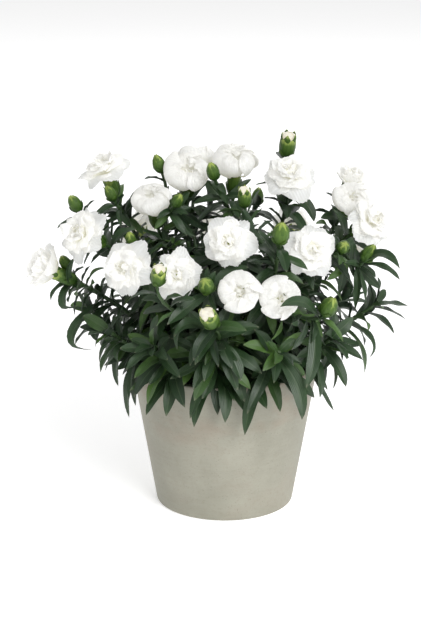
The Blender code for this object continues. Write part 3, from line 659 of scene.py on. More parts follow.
def place_seen(made, crowd, view):
    """Grows each leaf seen in the photo from a near stem, and leans it so that it has room."""
    roots = [(plan, stem.curve(t)) for plan in made for stem in plan.stems for t in ROOT_PLACES]
    pixels = np.array([view.pixel(root) for _, root in roots])
    depths = np.array([(root - view.eye).dot(view.ahead) for _, root in roots])
    for seen in SEEN_LEAVES:
        costs = np.linalg.norm(pixels - seen.line[0], axis=1) + DEPTH_COST * depths
        near = [roots[i] for i in np.argsort(costs)[:SEEN_ROOTS]]
        blades = [(plan, seen_blade(view, seen, root, lean)) for plan, root in near for lean in SEEN_LEANS]
        fits = crowd.rooms([blade for _, blade in blades], False) > SEEN_GAP
        hidden = crowd.lined_up(np.array([blade_marks(blade) for _, blade in blades]), -1).any(1)
        if (fits & ~hidden).any():
            fits &= ~hidden
        plan, blade = blades[int(fits.argmax())]
        plan.seen.append((crowd.keep(blade), seen.tint))


def added_form(rng, stem, place, turn, length, width, lift, bend):
    """One form of a leaf that grows from a stem's curve at place, on the side given by turn."""
    way = way_at(stem.curve, place)
    out = turned_round(way, turn + rng.uniform(*ADDED_DRAWS.turn))
    size = rng.uniform(*ADDED_DRAWS.size)
    looks = (length * size, width * size, lift, bend)
    return drawn_leaf(rng, ADDED_DRAWS, stem.curve(place), way, out, *looks)


def wanted_leaves(rng, stem, row, tufted):
    """A pair or two of leaves on each run between leaf pairs, one in the axil below it, and a tuft at a
    tip that bears no flower. Each has its place, turn, length, width, lift and bend."""
    wanted = []
    long_side = row is SIDE_ROW and arc_length(stem.curve) > LONG_SIDE_STEM
    lengths = LONG_SIDE_LENGTHS if long_side else row.lengths
    for k, (low, high) in enumerate(zip(stem.places, stem.places[1:])):
        length, width, lift, bend = row_at(row, (low + high) / 2, lengths)
        long_run = (stem.curve(high) - stem.curve(low)).length > LONG_RUN
        shares = LONG_RUN_PAIRS if long_run else SHORT_RUN_PAIRS
        if k == 0 and long_run and row is LEADER_ROW:
            shares = shares[1:]
        for share in shares:
            turn = rng.uniform(0, math.tau)
            for side in (0, math.pi):
                place = between((low, high), share + rng.uniform(*PAIR_STRAY))
                wanted.append((place, turn + side, length * PAIR_LENGTH, width, lift, bend))
        if k and rng.random() < AXIL_SHARE:
            looks = (length * AXIL_LENGTH, width * AXIL_WIDTH, lift + AXIL_LIFT, bend * AXIL_BEND)
            wanted.append((low + NEAR, rng.uniform(0, math.tau), *looks))
    if tufted:
        looks = (row.lengths[1] * TUFT_LENGTH, row.width * TUFT_WIDTH, TUFT_LIFT, TUFT_BEND)
        wanted += [(TUFT_PLACE, math.tau * k / TUFT_LEAVES, *looks) for k in range(TUFT_LEAVES)]
    return wanted


def added_leaves(rng, crowd, stem, row, tufted):
    wanted = wanted_leaves(rng, stem, row, tufted)
    grown = [crowd.grow([added_form(rng, stem, *leaf) for _ in range(CROWD_TRIES)]) for leaf in wanted]
    return [leaf for leaf in grown if leaf]


# Fine bodies

SHARP_ANGLE = 55
STEM_FINISH, LEAF_FINISH, HEAD_FINISH = range(3)
ONLY_FINISH = 0


class Fine:
    """One piece's points, faces and marks while it is built. The marks are values at each point that
    the materials read: how far along and across its blade it is, whether it is on the upper side, and
    the blade's own tint."""

    MARKS = ("along", "across", "over", "tint")

    def __init__(self):
        self.count = 0
        self.points = []
        self.marks = []
        self.faces = []
        self.finishes = []

    def add(self, points, *marks):
        """Adds a grid of points with their marks, and returns their numbers in the same grid."""
        shape = points.shape[:-1]
        columns = [np.broadcast_to(np.asarray(mark, float), shape).ravel() for mark in marks]
        numbers = self.count + np.arange(math.prod(shape)).reshape(shape)
        self.points.append(points.reshape(-1, 3))
        self.marks.append(np.stack(columns, -1))
        self.count += numbers.size
        return numbers

    def strip(self, low, high, finish):
        """Four-sided faces between two rows, or grids of rows, of numbered points."""
        faces = np.stack([low[..., :-1], low[..., 1:], high[..., 1:], high[..., :-1]], -1).reshape(-1, 4)
        self.faces += faces.tolist()
        self.finishes += [finish] * len(faces)

    def fan(self, ring, apex, finish):
        self.faces += [[a, b, apex] for a, b in zip(ring, np.roll(ring, -1))]
        self.finishes += [finish] * len(ring)

    def sheet(self, top, bottom, along, across, tint, finish):
        """A closed thin body between two grids of points, upper side first."""
        over = self.add(top, along, across, 1, tint)
        under = self.add(bottom, along, across, 0, tint)
        self.strip(over[:-1], over[1:], finish)
        self.strip(under[:-1, ::-1], under[1:, ::-1], finish)
        self.strip(under[0], over[0], finish)
        self.strip(over[-1], under[-1], finish)
        self.strip(over[:, 0], under[:, 0], finish)
        self.strip(under[:, -1], over[:, -1], finish)

    def loft(self, rings, along, tint, finish):
        """A closed body through rings of points, its ends closed."""
        across = np.linspace(-1, 1, rings.shape[1], endpoint=False)
        numbers = self.add(rings, np.asarray(along)[:, None], across, 1, tint)
        closed = np.concatenate([numbers, numbers[:, :1]], 1)
        self.strip(closed[:-1], closed[1:], finish)
        ends = self.add(rings[[0, -1]].mean(1), np.asarray(along)[[0, -1]], 0, 1, tint)
        self.fan(numbers[0][::-1], ends[0], finish)
        self.fan(numbers[-1], ends[1], finish)

    def object(self, name, finishes, slot, *nodes):
        """The finished piece, which stands for the named solids."""
        mesh = bpy.data.meshes.new(name)
        mesh.from_pydata(np.concatenate(self.points).tolist(), [], self.faces)
        for finish in finishes:
            mesh.materials.append(finish)
        mesh.polygons.foreach_set("material_index", self.finishes)
        marks = np.concatenate(self.marks)
        for column, mark in enumerate(self.MARKS):
            attribute = mesh.attributes.new(mark, "FLOAT", "POINT")
            attribute.data.foreach_set("value", np.ascontiguousarray(marks[:, column], dtype=np.float32))
        mesh.shade_smooth()
        mesh.set_sharp_from_angle(angle=math.radians(SHARP_ANGLE))
        mesh.update()
        piece = bpy.data.objects.new(name, mesh)
        bpy.context.scene.collection.objects.link(piece)
        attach(piece, "root")
        if nodes:
            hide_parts(*nodes)
        return piece


def placed(place, points):
    """Points moved from a placement's own frame."""
    turn = np.array(place.to_3x3())
    return points @ turn.T + np.array(place.translation)


def turned_points(radius, turns, height):
    """Points at a radius, a turn and a height round the Z axis."""
    x, y = radius * np.cos(turns), radius * np.sin(turns)
    return np.stack([x, y, np.broadcast_to(height, x.shape)], -1)


def stretched(pairs, first, second):
    return [(a * first, b * second) for a, b in pairs]


def fine_stem(fine, stem, tint, sunk=0.0):
    """A round stem along the smooth curve, swollen at its leaf pairs, with its foot sunk some way."""
    steps = max(LEAST_RINGS, round(arc_length(stem.curve) / STEM_STEP))
    places = sorted(set(np.linspace(0, 1, steps)) | set(stem.places))
    joints = np.array(stem.joints[1:-1])
    side = stem.sides[0]
    turns = round_turns(STEM_SIDES)[:, None]
    rings = []
    for t in places:
        point = stem.curve(t)
        way = way_at(stem.curve, t)
        side = (side - way * side.dot(way)).normalized()
        near = np.linalg.norm(joints - np.array(point), axis=1).min() / KNOT_REACH
        radius = between((stem.radii[0], stem.radii[-1]), t) * (1 + KNOT_SWELL * math.exp(-near * near))
        across = np.cos(turns) * np.array(side) + np.sin(turns) * np.array(way.cross(side))
        rings.append(np.array(point) + radius * across)
    if sunk:
        places.insert(0, 0)
        rings.insert(0, rings[0] - np.array(UP) * sunk)
    fine.loft(np.array(rings), places, tint, STEM_FINISH)


def fine_leaf(fine, leaf, rng, tint):
    """A leaf with its midrib sunk, its edges raised and a little waved."""
    stations, across = SMALL_BLADE if leaf.length < SMALL_LEAF else BLADE
    s = np.linspace(0, 1, stations) ** LEAF_PACKING
    s[-1] = LEAF_END
    a = np.array(across)[None, :]
    centre = leaf_line(leaf, s)
    ahead = unit(leaf_line(leaf, s + NEAR) - centre)
    side = np.array(leaf.side)
    side = unit(side - ahead * (ahead @ side)[:, None])
    above = np.cross(ahead, side)
    twist = (rng.uniform(-1, 1) * LEAF_TWIST * s**TWIST_POWER)[:, None]
    side, above = side * np.cos(twist) + above * np.sin(twist), above * np.cos(twist) - side * np.sin(twist)
    half = (leaf_width(leaf, s) / 2)[:, None]
    full = half / (leaf.width / 2)
    phase = rng.uniform(0, math.tau)
    waves = rng.uniform(*LEAF_WAVES)
    edge = np.abs(a)
    wave = np.sin(math.tau * waves * s[:, None] + phase + WAVE_LAG * np.sign(a)) * edge**2 * LEAF_WAVE
    height = full * (EDGE_RISE * edge**FOLD_POWER - RIB_SINK * (1 - edge) ** FOLD_POWER + wave)
    thick = between((LEAF_EDGE, LEAF_RIB), (1 - edge) ** 2) * between((TIP_THICKNESS, 1), full)
    top = centre[:, None] + side[:, None] * (a * half)[..., None] + above[:, None] * height[..., None]
    bottom = top - above[:, None] * thick[..., None]
    fine.sheet(top[:, ::-1], bottom[:, ::-1], s[:, None], a[:, ::-1], tint, LEAF_FINISH)


# Calyxes and buds

LATHE_SIDES = 20

# A pointed scale: its grid, its width at the foot, where it is widest, its least half width, how thick it
# is, how much of that its edges lose, how far they lie back, and the marks along it at foot and tip
SCALE_GRID = (7, 5)
SCALE_FOOT = 0.72
SCALE_WIDEST = 0.4
SCALE_LEAST = 0.06 * MM
SCALE_THICKNESS = 0.35 * MM
SCALE_THINNING = 0.6
SCALE_HOLLOW = 0.3
SCALE_ENDS = (0.4, 1.0)

# A calyx: its profile as (height, radius) and its paths as (radius, height), in millimetres. Its two pairs
# of bracts have a share of the reach and a lift off the tube each.
CALYX_PROFILE = ((0.0, 1.3), (0.8, 2.3), (2.6, 3.9), (5.3, 4.9), (9, 5.2), (13, 5.3), (16.5, 5.2),
                 (18.9, 5.35))
CALYX_RIBS = 0.035
CALYX_TINTS = (0.3, 1)
TEETH_PATH = ((5.1, 16.5), (5.5, 18.8), (6.2, 20.6), (7.2, 22.2))
TEETH_WIDTH = 5.6 * MM
TEETH_WRAP = 5.4 * MM
TEETH_TAPER = 2.0
BRACT_PATH = ((2.2, 0.6), (4.6, 3.2), (5.4, 6.0), (5.75, 8.5), (5.9, 11.5))
BRACT_PAIRS = ((0.82, 0), (1, 0.25 * MM))
BRACT_SIZES = (0.85, 1.1)
BRACT_WIDTH = 7 * MM
BRACT_WRAP = 5.2 * MM
BRACT_TAPER = 2.6
BRACT_TINTS = (0.2, 0.9)
BRACT_ENDS = (0.1, 0.66)
BRACTS = 4

# A bud, in shares of its length and radius: its profile as (height, radius), and the path, width, bend and
# taper of its five points, closed or parted round the petals
BudForm = namedtuple("BudForm", "profile points width wrap taper")
BUD_FORMS = {
    "bud": BudForm(((-0.06, 0.28), (0.0, 0.5), (0.1, 0.72), (0.27, 0.92), (0.45, 0.97), (0.65, 0.92),
                    (0.82, 0.74), (0.93, 0.52), (1.02, 0.30), (1.08, 0.10)),
                   ((0.86, 0.68), (0.72, 0.84), (0.42, 1.0), (0.10, 1.13)), 1.1, 0.9, 1.6),
    "opening": BudForm(((-0.06, 0.28), (0.0, 0.5), (0.1, 0.74), (0.27, 0.95), (0.5, 1.0), (0.75, 0.97),
                        (1.0, 0.84)),
                       ((0.86, 0.86), (0.92, 1.0), (0.90, 1.12), (0.76, 1.24)), 1.2, 1.0, 1.7),
}
BUD_RIBS = 0.05
BUD_TINTS = (0.4, 1)
BUD_BRACT_FOOT = (0.3, -0.04)
BUD_BRACT_PATH = ((0.8, 0.25), (1.04, 0.6), (1.06, 1))
BUD_BRACT_REACHES = (0.4, 0.5)
BUD_BRACT_SIZES = (0.85, 1.15)
BUD_BRACT_WIDTH = 1.5
BUD_BRACT_TAPER = 2.4


def lathe(fine, place, profile, folds, depth, tint, finish):
    """A closed round body from (height, radius) pairs, with a number of folds along it."""
    turns = round_turns(LATHE_SIDES)
    rings = []
    for k, (height, radius) in enumerate(profile):
        share = k / (len(profile) - 1)
        rings.append(turned_points(radius * (1 + depth * share * np.cos(folds * turns)), turns, height))
    heights = np.array([height for height, _ in profile])
    along = (heights - heights[0]) / (heights[-1] - heights[0])
    fine.loft(placed(place, np.array(rings)), along, tint, finish)


def scale_leaf(fine, place, turn, path, width, wrap, taper, tint, ends=SCALE_ENDS):
    """A pointed scale that stands on a round body. path has (radius, height) pairs up its middle, the
    scale bends round the axis at the radius wrap, and ends are the marks along it at its foot and tip."""
    u = np.linspace(0, 1, SCALE_GRID[0])
    v = np.linspace(-1, 1, SCALE_GRID[1])[None, :]
    stops = np.linspace(0, 1, len(path))
    radius, height = (np.interp(u, stops, column)[:, None] for column in zip(*path))
    full = between((SCALE_FOOT, 1), np.sin(np.minimum(1, u / SCALE_WIDEST) * math.pi / 2)) * (1 - u**taper)
    half = np.maximum(width / 2 * full, SCALE_LEAST)[:, None]
    angle = turn + v * half / wrap
    hollow = radius - SCALE_HOLLOW * (v * half) ** 2 / wrap
    outer = turned_points(hollow + SCALE_THICKNESS * (1 - SCALE_THINNING * np.abs(v)), angle, height)
    sides = (placed(place, points)[:, ::-1] for points in (outer, turned_points(hollow, angle, height)))
    fine.sheet(*sides, between(ends, u[:, None]), v[:, ::-1], tint, HEAD_FINISH)


def calyx(fine, head, rng):
    """A flower's calyx: a ribbed tube with five teeth and two pairs of bracts at its foot."""
    place = head_place(head, 0)
    tint = rng.uniform(*CALYX_TINTS)
    lathe(fine, place, stretched(CALYX_PROFILE, MM, MM), PETALS, CALYX_RIBS, tint, HEAD_FINISH)
    spin = rng.uniform(0, math.tau)
    teeth = stretched(TEETH_PATH, MM, MM)
    for turn in spin + round_turns(PETALS):
        scale_leaf(fine, place, turn, teeth, TEETH_WIDTH, TEETH_WRAP, TEETH_TAPER, tint)
    for k, turn in enumerate(spin + round_turns(BRACTS)):
        share, lift = BRACT_PAIRS[k % 2]
        reach = rng.uniform(*BRACT_SIZES) * share
        path = [(r + lift, z) for r, z in stretched(BRACT_PATH, MM, MM * reach)]
        scale_leaf(fine, place, turn, path, BRACT_WIDTH, BRACT_WRAP, BRACT_TAPER, rng.uniform(*BRACT_TINTS),
                   BRACT_ENDS)


def bud(fine, head, rng):
    """A bud: its calyx still closed in five points, or parted round the tip of the petals."""
    form = BUD_FORMS[head.kind]
    place = head_place(head, NECK)
    length = head_height(head)
    radius = head.size * MM / 2
    tint = rng.uniform(*BUD_TINTS)
    lathe(fine, place, stretched(form.profile, length, radius), PETALS, BUD_RIBS, tint, HEAD_FINISH)
    spin = rng.uniform(0, math.tau)
    points = stretched(form.points, radius, length)
    for turn in spin + round_turns(PETALS):
        scale_leaf(fine, place, turn, points, radius * form.width, radius * form.wrap, form.taper, tint)
    for k, turn in enumerate(spin + round_turns(BRACTS)):
        reach = length * BUD_BRACT_REACHES[k % 2] * rng.uniform(*BUD_BRACT_SIZES)
        path = stretched((BUD_BRACT_FOOT,), radius, length) + stretched(BUD_BRACT_PATH, radius, reach)
        scale_leaf(fine, place, turn, path, radius * BUD_BRACT_WIDTH, radius, BUD_BRACT_TAPER,
                   rng.uniform(*BRACT_TINTS), BRACT_ENDS)


# Petals

Petal = namedtuple("Petal", "turn path half wrap closed swirl cup ruffle frill lobes rounding seed")

# Where along a petal its claw widens, its swirl, cup and ruffle start and are full, its rim starts and its
# corners are cut
CLAW_SPAN = (0.08, 0.72)
SWIRL_SPAN = (0.1, 0.6)
CUP_SPAN = (0.15, 0.8)
RUFFLE_SPAN = (0.3, 1.05)
RIM_SPAN = (0.7, 1.0)
CORNER_SPAN = (0.8, 1.0)
CLAW_WIDTH = 0.16
CORNER_CUT = 0.10
CORNER_POWER = 2.4
TEETH_PER_MM = 0.42
SCALLOPS = (3.5, 6)
PETAL_WAVES = ((0.7, 1.2), (1.8, 2.6), (4, 5.5))
WAVE_SHARES = (1.0, 0.36, 0.09)
WAVE_LEANS = (0.5, 1.5)
PETAL_THICKNESS = 0.32 * MM
RIM_THINNING = 0.6


def eased(x, low, high):
    t = np.clip((x - low) / (high - low), 0, 1)
    return t * t * (3 - 2 * t)


def bent(path, t):
    """Points and unit tangents of a cubic curve, for an array t."""
    a, b, c, d = (np.array(p, float) for p in path)
    t = t[..., None]
    s = 1 - t
    points = a * s**3 + b * 3 * s * s * t + c * 3 * s * t * t + d * t**3
    ways = (b - a) * 3 * s * s + (c - b) * 6 * s * t + (d - c) * 3 * t * t
    return points, unit(ways)


def fine_petal(fine, place, petal, stations, across, paleness=1.0):
    """A petal as a thin waved sheet with a toothed edge, narrow at its claw. Its marks along it are made
    smaller by its paleness, which warms it."""
    rng = random.Random(petal.seed)
    u = np.linspace(0, 1, stations)[:, None]
    v = np.linspace(-1, 1, across)[None, :]
    rim = eased(u, *RIM_SPAN)
    teeth = petal.half / MM * TEETH_PER_MM
    saw = np.abs((v * teeth + rng.uniform(0, 1)) % 1 - 0.5) * 2
    scallop = 0.5 + 0.5 * np.sin(v * rng.uniform(*SCALLOPS) + rng.uniform(0, math.tau))
    edge = 1 - petal.rounding * np.abs(v) ** CORNER_POWER - petal.lobes * scallop**2
    t = u * edge - petal.frill * saw * rim
    claw = between((CLAW_WIDTH, 1), eased(t, *CLAW_SPAN))
    lateral = v * petal.half * claw * (1 - CORNER_CUT * eased(u, *CORNER_SPAN) * np.abs(v))
    ruffle = np.zeros_like(t)
    waves = [rng.uniform(*counts) for counts in PETAL_WAVES]
    for wave, share in zip(waves, WAVE_SHARES):
        ruffle += share * np.sin(math.pi * wave * v + rng.uniform(0, math.tau) + rng.uniform(*WAVE_LEANS) * u)
    lift = petal.ruffle * ruffle * eased(t, *RUFFLE_SPAN) + petal.cup * v * v * eased(t, *CUP_SPAN)
    lift = lift + petal.swirl * v * eased(t, *SWIRL_SPAN)
    spots, ways = bent(petal.path, t)
    normals = np.stack([-ways[..., 1], ways[..., 0]], -1)
    angle = lateral / petal.wrap
    cos, sin = math.cos(petal.turn), math.sin(petal.turn)
    sides = []
    for depth in (0, PETAL_THICKNESS * (1 - RIM_THINNING * rim)):
        r, z = np.moveaxis(spots + normals * (lift - depth)[..., None], -1, 0)
        bow = r if petal.closed else petal.wrap
        x, y = r - bow * (1 - np.cos(angle)), bow * np.sin(angle)
        points = np.stack([x * cos - y * sin, x * sin + y * cos, z], -1)
        sides.append(placed(place, points)[:, ::-1])
    across_marks = np.broadcast_to(v, t.shape)[:, ::-1]
    fine.sheet(*sides, t[:, ::-1] * paleness, across_marks, rng.uniform(0, 1), ONLY_FINISH)


# For each form and ring: the path of a petal's middle as (reach, height) pairs in shares of the flower's
# radius, as are its half width, the arc it bends round, how far one edge lies above the other, its cup
# and its ruffle. Its frill, its lobes and the rounding of its corners are shares of its length.
Ring = namedtuple("Ring", "path half wrap closed swirl cup ruffle frill lobes rounding")
RINGS = {
    "open": (
        Ring(((0.10, -0.10), (0.16, 0.28), (0.55, 0.34), (1.06, 0.03)), 0.70, 2.0, False,
             0.05, -0.05, 0.075, 0.04, 0.10, 0.34),
        Ring(((0.08, -0.10), (0.14, 0.44), (0.46, 0.58), (0.77, 0.34)), 0.60, 1.3, False,
             0.07, 0.0, 0.10, 0.045, 0.12, 0.32),
        Ring(((0.06, -0.10), (0.12, 0.50), (0.30, 0.80), (0.50, 0.66)), 0.50, 1.3, False,
             0.10, 0.02, 0.12, 0.045, 0.12, 0.26),
    ),
    "round": (
        Ring(((0.10, -0.10), (1.02, -0.26), (1.24, 1.02), (0.36, 0.66)), 0.84, 0.88, True,
             0.06, 0.0, 0.06, 0.02, 0.05, 0.10),
        Ring(((0.10, -0.10), (0.82, -0.14), (1.04, 1.02), (0.22, 0.68)), 0.74, 0.78, True,
             0.06, 0.0, 0.06, 0.02, 0.05, 0.12),
        Ring(((0.08, -0.10), (0.55, 0.05), (0.86, 0.98), (0.14, 0.52)), 0.66, 0.60, True,
             0.06, 0.02, 0.035, 0.03, 0.06, 0.12),
    ),
    "half": (
        Ring(((0.10, -0.10), (0.55, 0.05), (0.70, 0.60), (1.04, 0.74)), 0.70, 1.0, False,
             0.08, -0.02, 0.08, 0.05, 0.10, 0.20),
        Ring(((0.08, -0.10), (0.40, 0.10), (0.48, 0.80), (0.76, 1.02)), 0.60, 0.8, False,
             0.08, 0.0, 0.09, 0.05, 0.10, 0.20),
        Ring(((0.06, -0.10), (0.28, 0.20), (0.30, 0.80), (0.46, 1.08)), 0.46, 0.5, False,
             0.08, 0.02, 0.08, 0.05, 0.10, 0.20),
    ),
}
CLOSED_SIZES = (0.81, 0.98)
PETAL_TURNS = (-0.22, 0.22)
WIDE_GRID = (10, 25)
SMALL_GRID = (8, 15)

# The heart's small crumpled petals: how far out and in the standing and the folded ones reach, and how far
# each one strays
HEART_RING = Ring(None, 0.34, 0.8, False, 0, 0, 0.12, 0.05, 0.14, 0.25)
HEART_HEIGHTS = {"open": 0.70, "round": 0.48, "half": 1.0}
HEART_PALENESS = 0.6
HEART_PETALS = 7
HEART_FOOT = (0.06, -0.05)
HEART_SHOULDER = 0.6
HEART_DIP = 0.94
STANDING_REACHES = (0.16, 0.28)
STANDING_ENDS = (0.14, 0.26)
FOLDED_REACH = 0.20
FOLDED_ENDS = (-0.08, 0.05)
HEART_SIZES = (0.85, 1.0)
HEART_TURNS = (-0.6, 0.6)
HEART_SWIRLS = (-0.1, 0.1)
HEART_CUPS = (-0.08, 0.08)

# The furled petals of an opening bud, in shares of its size: the dome as (height, radius), and the petals
# laid round it, each a little higher than the last
BUD_DOME = ((-0.30, 0.36), (0.0, 0.40), (0.06, 0.39), (0.12, 0.33), (0.17, 0.23), (0.20, 0.10))
DOME_FOLDS = 0.07
DOME_TINT = 0.5
WRAP_RING = Ring(None, 0.36, 0.42, True, 0.03, 0, 0.012, 0.03, 0.06, 0.15)
WRAP_PATH = ((0.37, -0.25), (0.45, 0.02), (0.40, 0.20))
WRAP_ENDS = (0.02, 0.14)
WRAP_HEIGHT = 0.21
WRAP_STEP = 0.02
WRAP_TURNS = (-0.2, 0.2)
BUD_WRAPS = 4


def scaled(ring, radius, turn, path, size, seed):
    """A ring's petal for a flower of some radius."""
    lengths = (value * radius for value in (ring.swirl, ring.cup, ring.ruffle))
    return Petal(turn, path, ring.half * radius * size, ring.wrap * radius, ring.closed, *lengths, ring.frill,
                 ring.lobes, ring.rounding, seed)


def heart_petal(rng, radius, high, k, seed):
    """A small crumpled petal: every second one stands, and the others fold in over the middle."""
    reach = rng.uniform(*STANDING_REACHES) if k % 2 else FOLDED_REACH
    end = rng.uniform(*(STANDING_ENDS if k % 2 else FOLDED_ENDS))
    high *= rng.uniform(*HEART_SIZES)
    path = (HEART_FOOT, (reach * HEART_SHOULDER, high / 2), (reach, high), (end, high * HEART_DIP))
    turn = math.tau * k / HEART_PETALS + rng.uniform(*HEART_TURNS)
    ring = HEART_RING._replace(swirl=rng.uniform(*HEART_SWIRLS), cup=rng.uniform(*HEART_CUPS))
    return scaled(ring, radius, turn, stretched(path, radius, radius), 1, seed)


def fine_bloom(name, head, finish):
    """A double flower of separate petals in three rings, with small crumpled ones at its heart."""
    rng = random.Random(f"{name} petals")
    radius = head.size * MM / 2
    sizes, rises = [], []
    for _ in RINGS[head.kind]:
        sizes.append([rng.uniform(*PETAL_SIZES) for _ in range(PETALS)])
        rises.append([rng.uniform(-RING_SPREAD, RING_SPREAD) for _ in range(PETALS)])
    place = head_top(head) @ Matrix.Rotation(rng.uniform(0, math.tau), 4, "Z")
    fine = Fine()
    for layer, ring in enumerate(RINGS[head.kind]):
        outer = layer == 0
        for k in range(PETALS):
            size, rise = sizes[layer][k], rises[layer][k]
            size *= rng.uniform(*CLOSED_SIZES) if ring.closed else 1
            path = [(r * radius * (size if i else 1), z * radius + rise * radius * i / 3)
                    for i, (r, z) in enumerate(ring.path)]
            turn = math.tau * (k + (0.5 if outer else 0)) / PETALS + rng.uniform(*PETAL_TURNS)
            petal = scaled(ring, radius, turn, path, size, f"{name} {layer} {k}")
            fine_petal(fine, place, petal, *(SMALL_GRID if ring is RINGS[head.kind][-1] else WIDE_GRID))
    for k in range(HEART_PETALS):
        petal = heart_petal(rng, radius, HEART_HEIGHTS[head.kind], k, f"{name} heart {k}")
        fine_petal(fine, place, petal, *SMALL_GRID, HEART_PALENESS)
    return fine.object(name + "_petals", [finish], "petal_white", name)


def bud_tip(name, head, finish):
    """The furled petals in an opening bud: a folded dome with a few petals laid round it."""
    size = head.size * MM
    place = head_top(head)
    rng = random.Random(name)
    fine = Fine()
    lathe(fine, place, stretched(BUD_DOME, size, size), BUD_WRAPS, DOME_FOLDS, DOME_TINT, ONLY_FINISH)
    for k in range(BUD_WRAPS):
        end = (rng.uniform(*WRAP_ENDS), WRAP_HEIGHT + WRAP_STEP * k)
        turn = math.tau * k / BUD_WRAPS + rng.uniform(*WRAP_TURNS)
        path = stretched((*WRAP_PATH, end), size, size)
        fine_petal(fine, place, scaled(WRAP_RING, size, turn, path, 1, f"{name} {k}"), *SMALL_GRID)
    return fine.object(name + "_furled", [finish], "petal_white", name)


# Pot and compost

POT_SIDES = 144
EDGE_STEPS = 5
WALL_STEP = 6 * MM
FLOOR_HOLE = 0.1 * MM

# Each crumb's profile as (height, radius) shares of its size, from its lowest ring up
CRUMBS = 1100
CRUMB_SIZES = (0.8 * MM, 2.6 * MM)
CRUMB_PROFILE = ((-0.3, 0.5), (0.05, 0.85), (0.45, 0.75), (0.75, 0.3))
CRUMB_MARKS = (0, 0.3, 0.6, 1)
CRUMB_SIDES = 6
CRUMB_WAVES = (0.6, 1.35)
CRUMB_FLATNESS = 0.6
CRUMB_WALL_GAP = 2.5 * MM
CRUMB_STEM_GAP = 3.4 * MM


def rounded(profile, edge):
    """A profile of (radius, height) corners with each corner given as a short arc."""
    line = []
    for k, corner in enumerate(profile):
        corner = np.array(corner)
        if k in (0, len(profile) - 1):
            line.append(corner)
            continue
        before, after = np.array(profile[k - 1]), np.array(profile[k + 1])
        start = corner + unit(before - corner) * edge
        end = corner + unit(after - corner) * edge
        for t in np.linspace(0, 1, EDGE_STEPS):
            line.append(start * (1 - t) ** 2 + corner * 2 * t * (1 - t) + end * t**2)
    return line


def pot_radius(z):
    return POT_BASE_RADIUS + (POT_RIM_RADIUS - POT_BASE_RADIUS) * z / POT_HEIGHT


def fine_pot(finish):
    """The pot, turned on its axis, with softly rounded edges."""
    corners = ((FLOOR_HOLE, POT_FLOOR), (pot_radius(POT_FLOOR) - POT_WALL, POT_FLOOR),
               (POT_RIM_RADIUS - POT_WALL, POT_HEIGHT), (POT_RIM_RADIUS, POT_HEIGHT), (POT_BASE_RADIUS, 0),
               (FLOOR_HOLE, 0))
    line = rounded(corners, POT_EDGE)
    walls = []
    for a, b in zip(line, line[1:]):
        steps = max(1, round(np.linalg.norm(b - a) / WALL_STEP))
        walls += [between((a, b), k / steps) for k in range(steps)]
    walls.append(line[-1])
    turns = round_turns(POT_SIDES)
    rings = [turned_points(radius, turns, height) for radius, height in walls[::-1]]
    fine = Fine()
    fine.loft(np.array(rings), np.linspace(0, 1, len(rings)), 0, ONLY_FINISH)
    return fine.object("pot_fine", [finish], "pot_ceramic", "pot")


def crumbs(feet, finish):
    """Crumbs of compost that lie on its top, clear of the stems."""
    rng = random.Random("crumbs")
    fine = Fine()
    reach = pot_radius(SOIL_TOP) - POT_WALL - CRUMB_WALL_GAP
    turns = round_turns(CRUMB_SIDES)
    for _ in range(CRUMBS):
        spot = Vector((math.sqrt(rng.random()) * reach, 0))
        spot.rotate(Matrix.Rotation(rng.uniform(0, math.tau), 2))
        if any((spot - foot).length < CRUMB_STEM_GAP for foot in feet):
            continue
        size = rng.uniform(*CRUMB_SIZES)
        rings = []
        for height, radius in CRUMB_PROFILE:
            wave = size / 2 * radius * np.array([rng.uniform(*CRUMB_WAVES) for _ in turns])
            level = SOIL_TOP + height * size * CRUMB_FLATNESS
            rings.append(turned_points(wave, turns, level) + np.array((*spot, 0)))
        fine.loft(np.array(rings), CRUMB_MARKS, rng.random(), ONLY_FINISH)
    return fine.object("compost_crumbs", [finish], "compost_peat")


# Materials


